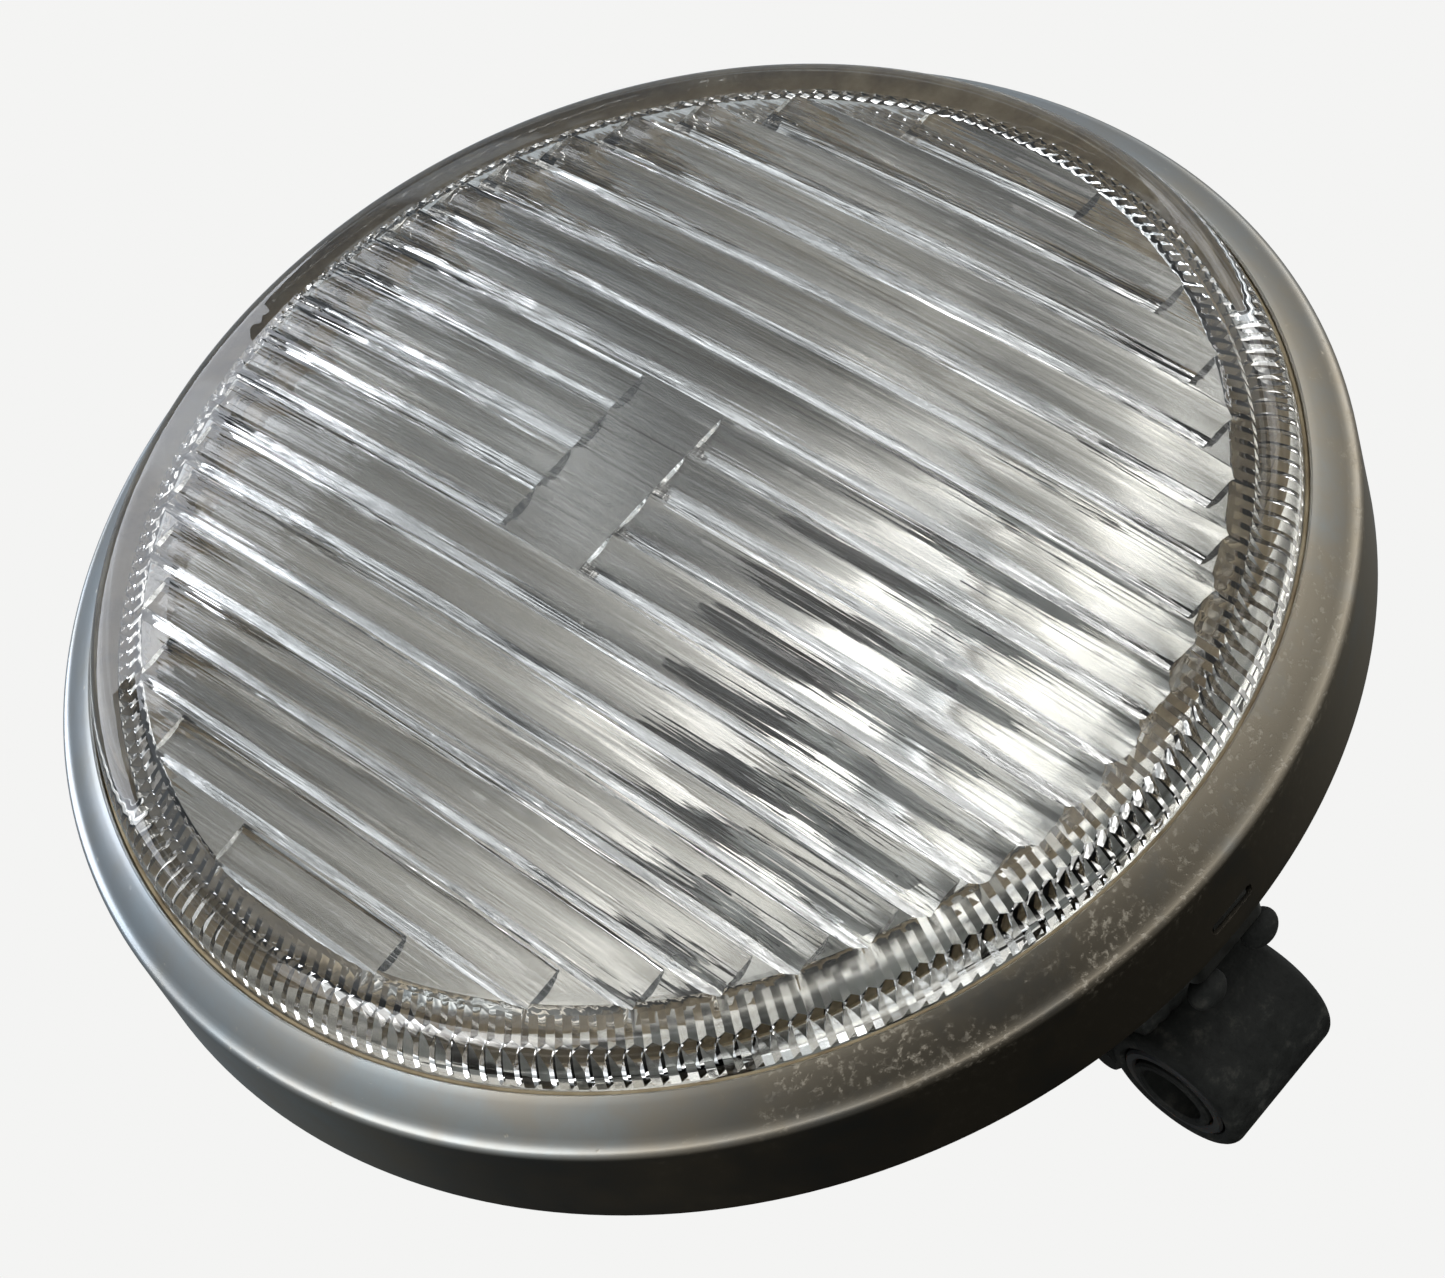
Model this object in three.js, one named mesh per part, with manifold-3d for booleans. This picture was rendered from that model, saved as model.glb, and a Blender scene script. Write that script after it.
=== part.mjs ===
// Round halogen fog lamp, 160 mm, that tilts on a cross bolt under its bowl.
//
// Frame, in millimetres: +Z up, the beam leaves towards -Y, +X is the right of someone who faces the lens.
// The origin is the middle of the pivot sleeve, on the tilt axis.
//
// Everything on the lamp's optical axis is laid out in the lamp group's own frame: x across, z up from the
// optical axis, and y = "back", the distance behind the plane of the rim's bevel edge. Glass that stands
// in front of that plane has a negative back.

import * as THREE from 'three';
import { mergeVertices } from 'three/addons/utils/BufferGeometryUtils.js';
import Module from 'manifold-3d';

const wasm = await Module();
wasm.setup();

// ---------------------------------------------------------------- driving dimensions

const GAP = 0.3; // clearance between pieces that touch
const AROUND = 60; // facets round a full turn of a large piece
const AROUND_SMALL = 20; // facets round a full turn of a small piece

// where the lamp sits over its pivot
const PIVOT_BACK = 45.4; // tilt axis behind the rim's bevel edge

// rim
const RIM_RADIUS = 80;
const RIM_WALL = 0.9;
const RIM_EDGE_ROUND = 1.0; // between the bevel and the skirt
const RIM_BEVEL_RISE = 4.0; // how far the bevel comes forward
const RIM_FACE = 5.6; // width of the bevel, from the lip to the skirt
const SLOT_LENGTH = 7; // release slot at the foot of the skirt
const SLOT_HEIGHT = 2;
const SLOT_MARGIN = 4.4; // middle of the slot ahead of the skirt's rear edge

// lens
const LENS_PLAY = 0.7; // between the glass and the rim's lip
const LENS_FLANGE = 2.6; // how far its flange reaches outwards behind the lip
const LENS_FRONT = 13.6; // crown of the glass in front of the bevel edge
const LENS_CROWN = 3.9; // rise of the dome
const LENS_SHOULDER = 4.6; // radius of the rounded shoulder
const LENS_WALL = 3.6; // thickness of the side wall
const LENS_INSIDE = 8.2; // flat inner face in front of the bevel edge
const LENS_FLANGE_DEPTH = 4;
const FLUTE_PITCH = 6.6;
const FLUTE_HEIGHT = 1.1;
const FLUTE_SUNK = 1; // how deep the flutes start inside the glass
const FLUTE_BORDER = 3.6; // plain ring between the flutes and the side wall
const WINDOW_WIDTH = 26; // plain panel left free of flutes
const WINDOW_HEIGHT = 13.4;
const WINDOW_RAISE = 8.3;

// gasket and reflector
const GASKET_THICKNESS = 1.8;
const REFLECTOR_WALL = 0.8;
const GASKET_TUCK = 2.2; // how far the gasket shows inside the side wall of the glass
const MOUTH_INSET = 0.6; // reflector's mouth inside the side wall of the glass
const REFLECTOR_FOCUS = 21;
const REFLECTOR_FACET = 7; // longest facet of its curve, across the radius
const REFLECTOR_NECK = 18;

// spring clips that hold the glass and the reflector in the rim
const CLIP_COUNT = 4;
const CLIP_WIDTH = 10;
const CLIP_WALL = 0.8;
const CLIP_REACH = 6.5;

// bulb and its holder
const LIGHT_CENTRE = 18; // filament ahead of the bulb's flange
const FLANGE_RADIUS = 9.5;
const FLANGE_THICKNESS = 1.0;
const BULB_BOSS_RADIUS = 6;
const BULB_BOSS_LENGTH = 7;
const BULB_STUB_LENGTH = 4.4;
const GLASS_RADIUS = 5.7;
const GLASS_WALL = 0.8;
const GLASS_LENGTH = 23.5;
const FILAMENT_LENGTH = 5;
const FILAMENT_RADIUS = 0.8;
const FILAMENT_LEG_RADIUS = 0.4;
const HOLDER_HOLE = 7.6;
const HOLDER_WALL = 1.1;
const HOLDER_OVERLAP = 5; // how far the holder reaches past the neck
const WIRE_RADIUS = 0.8; // bulb clip
const BULB_CLIP_HALF = 7.6;
const BULB_CLIP_HINGE_RAISE = 12.2;
const BULB_CLIP_LEG = 20.2;
const BRACKET_WIDTH = 12;
const BRACKET_WALL = 0.8;
const EAR_SPREAD = 4.5; // each ear from the middle
const EAR_WALL = 1.2;
const EAR_LAP = 1.5; // how far the ears reach over the foot plate
const EYE_WALL = 1; // metal round the clip's bar
const LEAD_RADIUS = 1.3;
const CONNECTOR_RADIUS = 2.2;
const CONNECTOR_LENGTH = 8;

// glare shield in front of the bulb
const SHIELD_RADIUS = 10;
const SHIELD_LENGTH = 14;
const SHIELD_OVERLAP = 5; // how far it covers the tip of the bulb
const SHIELD_WALL = 0.8;
const SHIELD_LEG_WIDTH = 4;
const SHIELD_LEG_WALL = 1;
const SHIELD_FOOT_RADIUS = 22;
const SHIELD_EDGE = 2; // rounding of the cup's front
const SHIELD_LEG_LAP = 4; // how far a leg runs along the cup
const SHIELD_TOE = 3.4; // foot that lies along the reflector

// bowl
const BOWL_WALL = 1.0;
const BOWL_LIP_CLEARANCE = 0.6; // lip inside the skirt
const BOWL_LIP_ENGAGE = 4.7; // how far the lip reaches into the skirt
const BOWL_LIP_ROOM = 0.9; // between the spring clips and the front of the lip
const BOWL_STEP = 2.7; // from the lip in to the shoulder
const BOWL_END_RADIUS = 35.6; // where the side meets the back wall's corner
const BACK_ROOM = 25.3; // room behind the bulb for its lead and the fittings
const BOWL_CORNER = 4; // rounding of the back wall's edge
const SEAL_SIZE = 2;

// mounting barrel and its bearings
const BARREL_WALL = 2.1;
const BARREL_STANDOFF = 0.263; // clear of the bowl's slope, bridged by the welds
const BARREL_LENGTH = 19;
const BARREL_ROUND = 1.2;
const BOLT_HOLE_RADIUS = 4.2;
const SLEEVE_WALL = 1.2;
const SLEEVE_PROUD = 0.4; // sleeve past each end of the barrel
const BUSH_WALL = 1.4;
const BEAD_RADIUS = 3.0;

// hinge hook at the top and latch at the foot
const HOOK_WIDTH = 14;
const HOOK_PLATE = 0.8;
const HOOK_ROLL = 1.3;
const HOOK_CLEARANCE = 1.2; // between the roll and the skirt's rear edge
const HOOK_TONGUE = 3; // how far the plate reaches ahead of the reflector's flange
const HOOK_DROP = 2.4; // hinge axis below the rim's outer radius
const TROUGH_WALL = 1.1;
const TROUGH_SIDE = 2; // trough past each end of the hook
const TROUGH_OPEN = 0.4; // top of the trough below the hinge axis
const TROUGH_FOOT_LENGTH = 3.5;
const TROUGH_FOOT_DROP = 2.2;
const TROUGH_FOOT_LAP = 1; // how far the foot runs under the trough
const LATCH_WIDTH = 10;
const LATCH_NOSE_WIDTH = 6;
const LATCH_PLATE = 0.8;
const LATCH_LENGTH = 16;
const LATCH_LOBE = 2.6;
const LOBE_LENGTH = 2.34; // half its size, front to back
const LOBE_HEIGHT = 1.95; // half its size, up and down
const LOBE_DROP = 1.56; // its middle, under the top of the leaf
const LATCH_TRAVEL = 1.0;
const STAPLE_WALL = 0.9;
const STAPLE_DEPTH = 3;
const LATCH_LOBE_SPREAD = 4.8; // each lobe from the middle
const LATCH_SIDE_PLAY = 0.1; // nose shorter than the slot at each end

// back of the bowl
const GROMMET_HOLE = 2.5;
const GROMMET_RADIUS = 6.5;
const GROMMET_GROOVE = 4.6;
const GROMMET_FLANGE = 2; // thickness of each flange
const GROMMET_SPOUT = 8; // how far it stands out behind the wall
const GROMMET_TAPER = 0.8;
const GROMMET_DROP = 20;
const EARTH_X = -17;
const EARTH_SCREW_RADIUS = 2;
const EARTH_SCREW_LENGTH = 4; // inside the wall
const EARTH_HEAD_RADIUS = 3.6;
const EARTH_HEAD_HEIGHT = 2.2;
const EARTH_HEAD_EDGE = 1.2;
const EARTH_SLOT = 1; // width and depth of the screwdriver slot
const EARTH_NUT_RADIUS = 3.9; // across its corners, halved
const EARTH_NUT_HEIGHT = 2.4;
const BLADE_WIDTH = 6.3;
const BLADE_WALL = 0.8;
const BLADE_LENGTH = 9;
const BLADE_BELOW = 5; // foot below the screw
const BLADE_ABOVE = 6; // foot above the screw
const PLUG_RADIUS = 4;
const PLUG_NECK = 3;
const PLUG_LIP = 0.6; // head wider than the plug
const PLUG_HEAD = 1.8;
const PLUG_BARB = 1.2;
const PLUG_X = 16;

// ---------------------------------------------------------------- what follows from them

const RIM_INSIDE = RIM_RADIUS - RIM_WALL;
const RIM_LIP_RADIUS = RIM_RADIUS - RIM_FACE;
const LENS_RADIUS = RIM_LIP_RADIUS - LENS_PLAY; // glass where it passes the lip
const LENS_SIDE_INSIDE = LENS_RADIUS - LENS_WALL;
const FLUTE_FIELD = LENS_SIDE_INSIDE - FLUTE_BORDER; // radius that the flutes fill
const REFLECTOR_MOUTH = LENS_SIDE_INSIDE - MOUTH_INSET;
const LIP_OUTSIDE = RIM_INSIDE - BOWL_LIP_CLEARANCE;
const LIP_INSIDE = LIP_OUTSIDE - BOWL_WALL;
const LENS_FLANGE_RADIUS = LENS_RADIUS + LENS_FLANGE;
const GASKET_FRONT = LENS_FLANGE_DEPTH + GAP;
const FLANGE_FRONT = GASKET_FRONT + GASKET_THICKNESS + GAP; // reflector flange, front face
const CLIP_REAR = FLANGE_FRONT + REFLECTOR_WALL + GAP + CLIP_WALL;
const LIP_FRONT = CLIP_REAR + BOWL_LIP_ROOM;
const RIM_SKIRT = LIP_FRONT + BOWL_LIP_ENGAGE; // depth of the skirt
const SLOT_BACK = RIM_SKIRT - SLOT_MARGIN;
const REFLECTOR_APEX = FLANGE_FRONT + REFLECTOR_MOUTH ** 2 / (4 * REFLECTOR_FOCUS);
const FILAMENT_BACK = REFLECTOR_APEX - REFLECTOR_FOCUS;
const FLANGE_SEAT = FILAMENT_BACK + LIGHT_CENTRE; // holder face that the bulb sits on
const BULB_FLANGE_BACK = FLANGE_SEAT + GAP + FLANGE_THICKNESS;
const BULB_CLIP_BACK = BULB_FLANGE_BACK + GAP + WIRE_RADIUS;
const GLASS_BACK = FLANGE_SEAT - BULB_STUB_LENGTH - GAP;
const GLASS_TIP = GLASS_BACK - GLASS_LENGTH;
const HOOK_AXIS_BACK = RIM_SKIRT + HOOK_ROLL + HOOK_CLEARANCE;
const HOOK_AXIS_RAISE = RIM_RADIUS - HOOK_DROP;
const BOWL_BACK = BULB_FLANGE_BACK + BACK_ROOM;
const BOWL_INSIDE_BACK = BOWL_BACK - BOWL_WALL;
const BOWL_SHOULDER = LIP_INSIDE - BOWL_STEP; // radius just behind the rim
const SHOULDER_BACK = RIM_SKIRT + BOWL_WALL - GAP;
const SLEEVE_RADIUS = BOLT_HOLE_RADIUS + SLEEVE_WALL;
const BUSH_INSIDE = SLEEVE_RADIUS + GAP;
const BUSH_RADIUS = BUSH_INSIDE + BUSH_WALL;
const BARREL_RADIUS = BUSH_RADIUS + GAP + BARREL_WALL;

// The bowl's outside is a paraboloid from its shoulder to the corner of the back wall.
const BOWL_END = BOWL_BACK - BOWL_CORNER;
const BOWL_RATE = (BOWL_SHOULDER ** 2 - BOWL_END_RADIUS ** 2) / (BOWL_END - SHOULDER_BACK);
const bowlOutside = (back) => Math.sqrt(BOWL_SHOULDER ** 2 - BOWL_RATE * (back - SHOULDER_BACK));
const BOWL_WAIST = bowlOutside(PIVOT_BACK); // radius above the mounting barrel
const BOWL_SLOPE = BOWL_RATE / (2 * BOWL_WAIST); // how fast it narrows there
const BARREL_REACH = (BARREL_RADIUS + BARREL_STANDOFF) * Math.hypot(1, BOWL_SLOPE);
const PIVOT_DROP = BOWL_WAIST + BARREL_REACH; // optical axis above the tilt axis

// ---------------------------------------------------------------- small helpers

const colours = {
  chrome: { color: 0xb9bcc0, roughness: 0.25, metalness: 1 },
  glass: { color: 0xe8e6df, roughness: 0.08, metalness: 0 },
  mirror: { color: 0xd9dce0, roughness: 0.06, metalness: 1 },
  rubber: { color: 0x25241f, roughness: 0.85, metalness: 0 },
  blackPaint: { color: 0x1b1c1d, roughness: 0.55, metalness: 0 },
  barrelBlack: { color: 0x222321, roughness: 0.7, metalness: 0.2 },
  zinc: { color: 0x9da09f, roughness: 0.45, metalness: 1 },
  steel: { color: 0x8b8d8c, roughness: 0.4, metalness: 1 },
  nylon: { color: 0xd8d4c6, roughness: 0.6, metalness: 0 },
  wire: { color: 0x4d4a46, roughness: 0.5, metalness: 1 },
  redLead: { color: 0x7e1f1a, roughness: 0.7, metalness: 0 },
};

const lamp = new THREE.Group();
lamp.position.set(0, -PIVOT_BACK, PIVOT_DROP);
const part = new THREE.Group();
part.add(lamp);

// A geometry with only position and shared vertices, its faces turned outwards.
function welded(geometry) {
  geometry.deleteAttribute('normal');
  geometry.deleteAttribute('uv');
  const merged = mergeVertices(geometry, 1e-4);
  const position = merged.attributes.position;
  const source = Array.from(merged.index.array);
  const kept = [];
  let volume = 0;
  const a = new THREE.Vector3();
  const b = new THREE.Vector3();
  const c = new THREE.Vector3();
  for (let i = 0; i < source.length; i += 3) {
    const [p, q, r] = source.slice(i, i + 3);
    if (p === q || q === r || r === p) continue;
    kept.push(p, q, r);
    a.fromBufferAttribute(position, p);
    b.fromBufferAttribute(position, q);
    c.fromBufferAttribute(position, r);
    volume += a.dot(b.cross(c));
  }
  merged.setIndex(volume < 0 ? kept.reverse() : kept);
  return merged;
}

// A closed three.js geometry as a solid that can be joined and cut.
function solid(geometry) {
  const merged = welded(geometry);
  return new wasm.Manifold(new wasm.Mesh({
    numProp: 3,
    vertProperties: new Float32Array(merged.attributes.position.array),
    triVerts: new Uint32Array(merged.index.array),
  }));
}

// The solid back as a geometry.
function shape(body) {
  const mesh = body.getMesh();
  const geometry = new THREE.BufferGeometry();
  geometry.setAttribute('position', new THREE.BufferAttribute(mesh.vertProperties.slice(), 3));
  geometry.setIndex(new THREE.BufferAttribute(mesh.triVerts.slice(), 1));
  return geometry;
}

function place(group, name, geometry, colour) {
  const mesh = new THREE.Mesh(geometry, new THREE.MeshStandardMaterial(colours[colour]));
  mesh.name = name;
  group.add(mesh);
  return mesh;
}

// Points of an arc in a profile, from one angle to another in degrees.
function arc(centreX, centreY, radius, from, to, steps) {
  return Array.from({ length: steps + 1 }, (_, i) => {
    const angle = THREE.MathUtils.degToRad(from + ((to - from) * i) / steps);
    return [centreX + radius * Math.cos(angle), centreY + radius * Math.sin(angle)];
  });
}

// A closed profile of [radius, back] turned round the optical axis.
function turned(profile, around = AROUND) {
  const points = profile.map(([radius, back]) => new THREE.Vector2(Math.max(radius, 0), back));
  const onAxis = points[0].x === 0 && points[points.length - 1].x === 0;
  if (!onAxis) points.push(points[0].clone());
  return welded(new THREE.LatheGeometry(points, around));
}

// The same profile turned round the x axis, as [radius, x], at a place in the lamp's frame.
function turnedAcross(profile, around = AROUND_SMALL) {
  return turned(profile, around).rotateZ(-Math.PI / 2);
}

// A box between two corners.
function block(low, high) {
  const size = high.map((value, i) => value - low[i]);
  const middle = high.map((value, i) => (value + low[i]) / 2);
  return new THREE.BoxGeometry(...size).translate(...middle);
}

// A rod from one point to another.
function rod(from, to, radius, around = 12) {
  const start = new THREE.Vector3(...from);
  const run = new THREE.Vector3(...to).sub(start);
  const turn = new THREE.Quaternion().setFromUnitVectors(
    new THREE.Vector3(0, 1, 0),
    run.clone().normalize(),
  );
  return new THREE.CylinderGeometry(radius, radius, run.length(), around)
    .applyQuaternion(turn)
    .translate(...start.addScaledVector(run, 0.5).toArray());
}

// An outline of [back, up] points drawn out along x, middled on the lamp's middle plane.
function drawnAcross(outline, width) {
  const flat = new THREE.Shape(outline.map(([back, up]) => new THREE.Vector2(up, back)));
  const geometry = new THREE.ExtrudeGeometry(flat, { depth: width, bevelEnabled: false });
  // the shape's x is up and its y is back, drawn along its z
  return welded(geometry.applyMatrix4(new THREE.Matrix4().set(
    0, 0, 1, -width / 2,
    0, 1, 0, 0,
    1, 0, 0, 0,
    0, 0, 0, 1,
  )));
}

// ---------------------------------------------------------------- rim

// The bevel's outer face runs from the edge round to the lip.
const BEVEL_EDGE = RIM_RADIUS - RIM_EDGE_ROUND;
const BEVEL_SLOPE = RIM_BEVEL_RISE / (BEVEL_EDGE - RIM_LIP_RADIUS);
const BEVEL_WALL = RIM_WALL * Math.hypot(1, BEVEL_SLOPE); // wall measured along the axis
const bevelInside = (radius) => -(BEVEL_EDGE - radius) * BEVEL_SLOPE + BEVEL_WALL;

function makeRim() {
  const shell = solid(turned([
    [RIM_LIP_RADIUS, -RIM_BEVEL_RISE],
    ...arc(RIM_RADIUS - RIM_EDGE_ROUND, RIM_EDGE_ROUND, RIM_EDGE_ROUND, -90, 0, 4),
    [RIM_RADIUS, RIM_SKIRT],
    [RIM_INSIDE, RIM_SKIRT],
    [RIM_INSIDE, bevelInside(RIM_INSIDE) + RIM_WALL],
    [RIM_LIP_RADIUS, bevelInside(RIM_LIP_RADIUS)],
  ]));
  const slot = solid(block(
    [-SLOT_LENGTH / 2, SLOT_BACK - SLOT_HEIGHT / 2, -RIM_RADIUS - 1],
    [SLOT_LENGTH / 2, SLOT_BACK + SLOT_HEIGHT / 2, -RIM_INSIDE + 1],
  ));
  return shape(shell.subtract(slot));
}

// ---------------------------------------------------------------- lens

function makeLens() {
  const edge = LENS_RADIUS - LENS_SHOULDER; // radius where the dome meets the shoulder
  const domeRadius = (edge ** 2 + LENS_CROWN ** 2) / (2 * LENS_CROWN);
  const dome = Array.from({ length: 6 }, (_, i) => {
    const radius = (edge * i) / 5;
    const drop = domeRadius - Math.sqrt(domeRadius ** 2 - radius ** 2);
    return [radius, -LENS_FRONT + drop];
  });
  const shoulderBack = -LENS_FRONT + LENS_CROWN + LENS_SHOULDER;
  const inner = LENS_SIDE_INSIDE;
  const flangeFront = bevelInside(LENS_FLANGE_RADIUS) + 2 * GAP;
  const body = solid(turned([
    ...dome,
    ...arc(edge, shoulderBack, LENS_SHOULDER, -75, 0, 5),
    [LENS_RADIUS, flangeFront - LENS_FLANGE / 2],
    [LENS_FLANGE_RADIUS, flangeFront],
    [LENS_FLANGE_RADIUS, LENS_FLANGE_DEPTH],
    [inner, LENS_FLANGE_DEPTH],
    [inner, -LENS_INSIDE + LENS_WALL],
    [FLUTE_FIELD, -LENS_INSIDE],
    [0, -LENS_INSIDE],
  ]));
  return shape(body.add(makeFlutes()));
}

// Upright half-round ribs inside the glass, kept off the plain window.
function makeFlutes() {
  const ribRadius = ((FLUTE_PITCH / 2) ** 2 + FLUTE_HEIGHT ** 2) / (2 * FLUTE_HEIGHT);
  const count = Math.floor((2 * FLUTE_FIELD) / FLUTE_PITCH);
  const half = (FLUTE_PITCH - GAP) / 2;
  let ribs = null;
  for (let i = 0; i < count; i += 1) {
    const x = (i - (count - 1) / 2) * FLUTE_PITCH;
    const reach = Math.sqrt(FLUTE_FIELD ** 2 - (Math.abs(x) + half) ** 2);
    if (!(reach > FLUTE_PITCH)) continue;
    const crest = Array.from({ length: 5 }, (_, k) => {
      const across = half * (1 - k / 2);
      return new THREE.Vector2(across, Math.sqrt(ribRadius ** 2 - across ** 2) - ribRadius + FLUTE_HEIGHT);
    });
    const outline = new THREE.Shape([
      new THREE.Vector2(-half, -FLUTE_SUNK),
      new THREE.Vector2(half, -FLUTE_SUNK),
      ...crest,
    ]);
    const rib = new THREE.ExtrudeGeometry(outline, { depth: 2 * reach, bevelEnabled: false });
    const upright = solid(rib.translate(x, -LENS_INSIDE, -reach));
    ribs = ribs ? ribs.add(upright) : upright;
  }
  const window = solid(block(
    [-WINDOW_WIDTH / 2, -LENS_INSIDE - 2 * FLUTE_SUNK, WINDOW_RAISE - WINDOW_HEIGHT / 2],
    [WINDOW_WIDTH / 2, -LENS_INSIDE + 2 * FLUTE_HEIGHT, WINDOW_RAISE + WINDOW_HEIGHT / 2],
  ));
  return ribs.subtract(window);
}

// ---------------------------------------------------------------- gasket and reflector

function makeGasket() {
  const inner = LENS_SIDE_INSIDE - GASKET_TUCK;
  return turned([
    [inner, GASKET_FRONT],
    [LENS_FLANGE_RADIUS, GASKET_FRONT],
    [LENS_FLANGE_RADIUS, GASKET_FRONT + GASKET_THICKNESS],
    [inner, GASKET_FRONT + GASKET_THICKNESS],
  ]);
}

const reflectorInside = (radius) => REFLECTOR_APEX - radius ** 2 / (4 * REFLECTOR_FOCUS);

function makeReflector() {
  const steps = Math.ceil((REFLECTOR_MOUTH - REFLECTOR_NECK) / REFLECTOR_FACET);
  const curve = Array.from({ length: steps + 1 }, (_, i) => {
    const radius = REFLECTOR_NECK + ((REFLECTOR_MOUTH - REFLECTOR_NECK) * i) / steps;
    return [radius, reflectorInside(radius)];
  });
  // the outer skin is the same curve moved out along its own normal
  const skin = curve.map(([radius, back]) => {
    const tilt = Math.atan2(radius, 2 * REFLECTOR_FOCUS);
    return [radius + REFLECTOR_WALL * Math.sin(tilt), back + REFLECTOR_WALL * Math.cos(tilt)];
  });
  skin.pop();
  return turned([
    ...curve,
    [LENS_FLANGE_RADIUS, FLANGE_FRONT],
    [LENS_FLANGE_RADIUS, FLANGE_FRONT + REFLECTOR_WALL],
    [REFLECTOR_MOUTH + REFLECTOR_WALL, FLANGE_FRONT + REFLECTOR_WALL],
    ...skin.reverse(),
  ]);
}

// Spring clip: a foot along the skirt and a finger that presses on the reflector's flange.
function makeReflectorClip() {
  const outer = RIM_INSIDE - 2 * GAP;
  const rear = CLIP_REAR;
  const front = rear - CLIP_REACH;
  const flat = Math.sqrt(outer ** 2 - (CLIP_WIDTH / 2) ** 2); // a flat strip inside a round skirt
  return drawnAcross([
    [front, flat],
    [rear, flat],
    [rear, flat - CLIP_REACH],
    [rear - CLIP_WALL, flat - CLIP_REACH],
    [rear - CLIP_WALL, flat - CLIP_WALL],
    [front, flat - CLIP_WALL],
  ], CLIP_WIDTH);
}

// ---------------------------------------------------------------- bulb, holder, clip and shield

const HOLDER_REAR = FLANGE_SEAT + REFLECTOR_WALL + GAP + HOLDER_WALL;
const HOLDER_RADIUS = REFLECTOR_NECK + HOLDER_OVERLAP;

const HOLDER_STEP = REFLECTOR_NECK - 2 * GAP; // the pressed step fits in the reflector's neck
const HOLDER_STEP_INSIDE = HOLDER_STEP - HOLDER_WALL;
const EYE_RADIUS = WIRE_RADIUS + GAP;

function makeHolder() {
  return turned([
    [HOLDER_HOLE, FLANGE_SEAT - HOLDER_WALL],
    [HOLDER_STEP, FLANGE_SEAT - HOLDER_WALL],
    [HOLDER_STEP, HOLDER_REAR - HOLDER_WALL],
    [HOLDER_RADIUS, HOLDER_REAR - HOLDER_WALL],
    [HOLDER_RADIUS, HOLDER_REAR],
    [HOLDER_STEP_INSIDE, HOLDER_REAR],
    [HOLDER_STEP_INSIDE, FLANGE_SEAT],
    [HOLDER_HOLE, FLANGE_SEAT],
  ], AROUND_SMALL * 2);
}

function makeBulbBase() {
  const seat = FLANGE_SEAT + GAP;
  return turned([
    [0, FLANGE_SEAT - BULB_STUB_LENGTH],
    [GLASS_RADIUS, FLANGE_SEAT - BULB_STUB_LENGTH],
    [GLASS_RADIUS, seat],
    [FLANGE_RADIUS, seat],
    [FLANGE_RADIUS, BULB_FLANGE_BACK],
    [BULB_BOSS_RADIUS, BULB_FLANGE_BACK],
    [BULB_BOSS_RADIUS, BULB_FLANGE_BACK + BULB_BOSS_LENGTH],
    [0, BULB_FLANGE_BACK + BULB_BOSS_LENGTH],
  ], AROUND_SMALL);
}

// Glass tube with a round tip, open where it enters the base.
function makeBulbGlass() {
  const inner = GLASS_RADIUS - GLASS_WALL;
  const centre = GLASS_TIP + GLASS_RADIUS;
  return turned([
    ...arc(0, centre, GLASS_RADIUS, -90, 0, 5),
    [GLASS_RADIUS, GLASS_BACK],
    [inner, GLASS_BACK],
    ...arc(0, centre, inner, 0, -90, 5),
  ], AROUND_SMALL);
}

function makeFilament() {
  const half = FILAMENT_LENGTH / 2;
  const foot = GLASS_BACK - GAP;
  const coil = solid(rod([-half, FILAMENT_BACK, 0], [half, FILAMENT_BACK, 0], FILAMENT_RADIUS, 10));
  const legs = [-1, 1].map((side) => solid(rod(
    [side * half, foot, 0],
    [side * half, FILAMENT_BACK, 0],
    FILAMENT_LEG_RADIUS,
    8,
  )));
  // a glass bridge ties the two legs together just ahead of the base
  const bridge = solid(rod(
    [-half, foot - 3, 0],
    [half, foot - 3, 0],
    FILAMENT_LEG_RADIUS * 1.5,
    8,
  ));
  return shape(coil.add(legs[0]).add(legs[1]).add(bridge));
}

// Fork of spring wire: a bar in its bracket and two legs over the bulb's flange.
function makeBulbClip() {
  const low = BULB_CLIP_HINGE_RAISE - BULB_CLIP_LEG;
  const bar = solid(rod(
    [-BULB_CLIP_HALF, BULB_CLIP_BACK, BULB_CLIP_HINGE_RAISE],
    [BULB_CLIP_HALF, BULB_CLIP_BACK, BULB_CLIP_HINGE_RAISE],
    WIRE_RADIUS,
    10,
  ));
  const legs = [-1, 1].map((side) => {
    const x = side * BULB_CLIP_HALF;
    const knuckle = solid(new THREE.SphereGeometry(WIRE_RADIUS, 10, 6)
      .translate(x, BULB_CLIP_BACK, BULB_CLIP_HINGE_RAISE));
    const leg = solid(rod(
      [x, BULB_CLIP_BACK, BULB_CLIP_HINGE_RAISE],
      [x, BULB_CLIP_BACK, low],
      WIRE_RADIUS,
      10,
    ));
    const toe = solid(rod(
      [x - side * 0.2, BULB_CLIP_BACK, low],
      [x + side * 3 * WIRE_RADIUS, BULB_CLIP_BACK, low],
      WIRE_RADIUS * 0.98,
      10,
    ));
    return knuckle.add(leg).add(toe);
  });
  return shape(bar.add(legs[0]).add(legs[1]));
}

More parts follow.
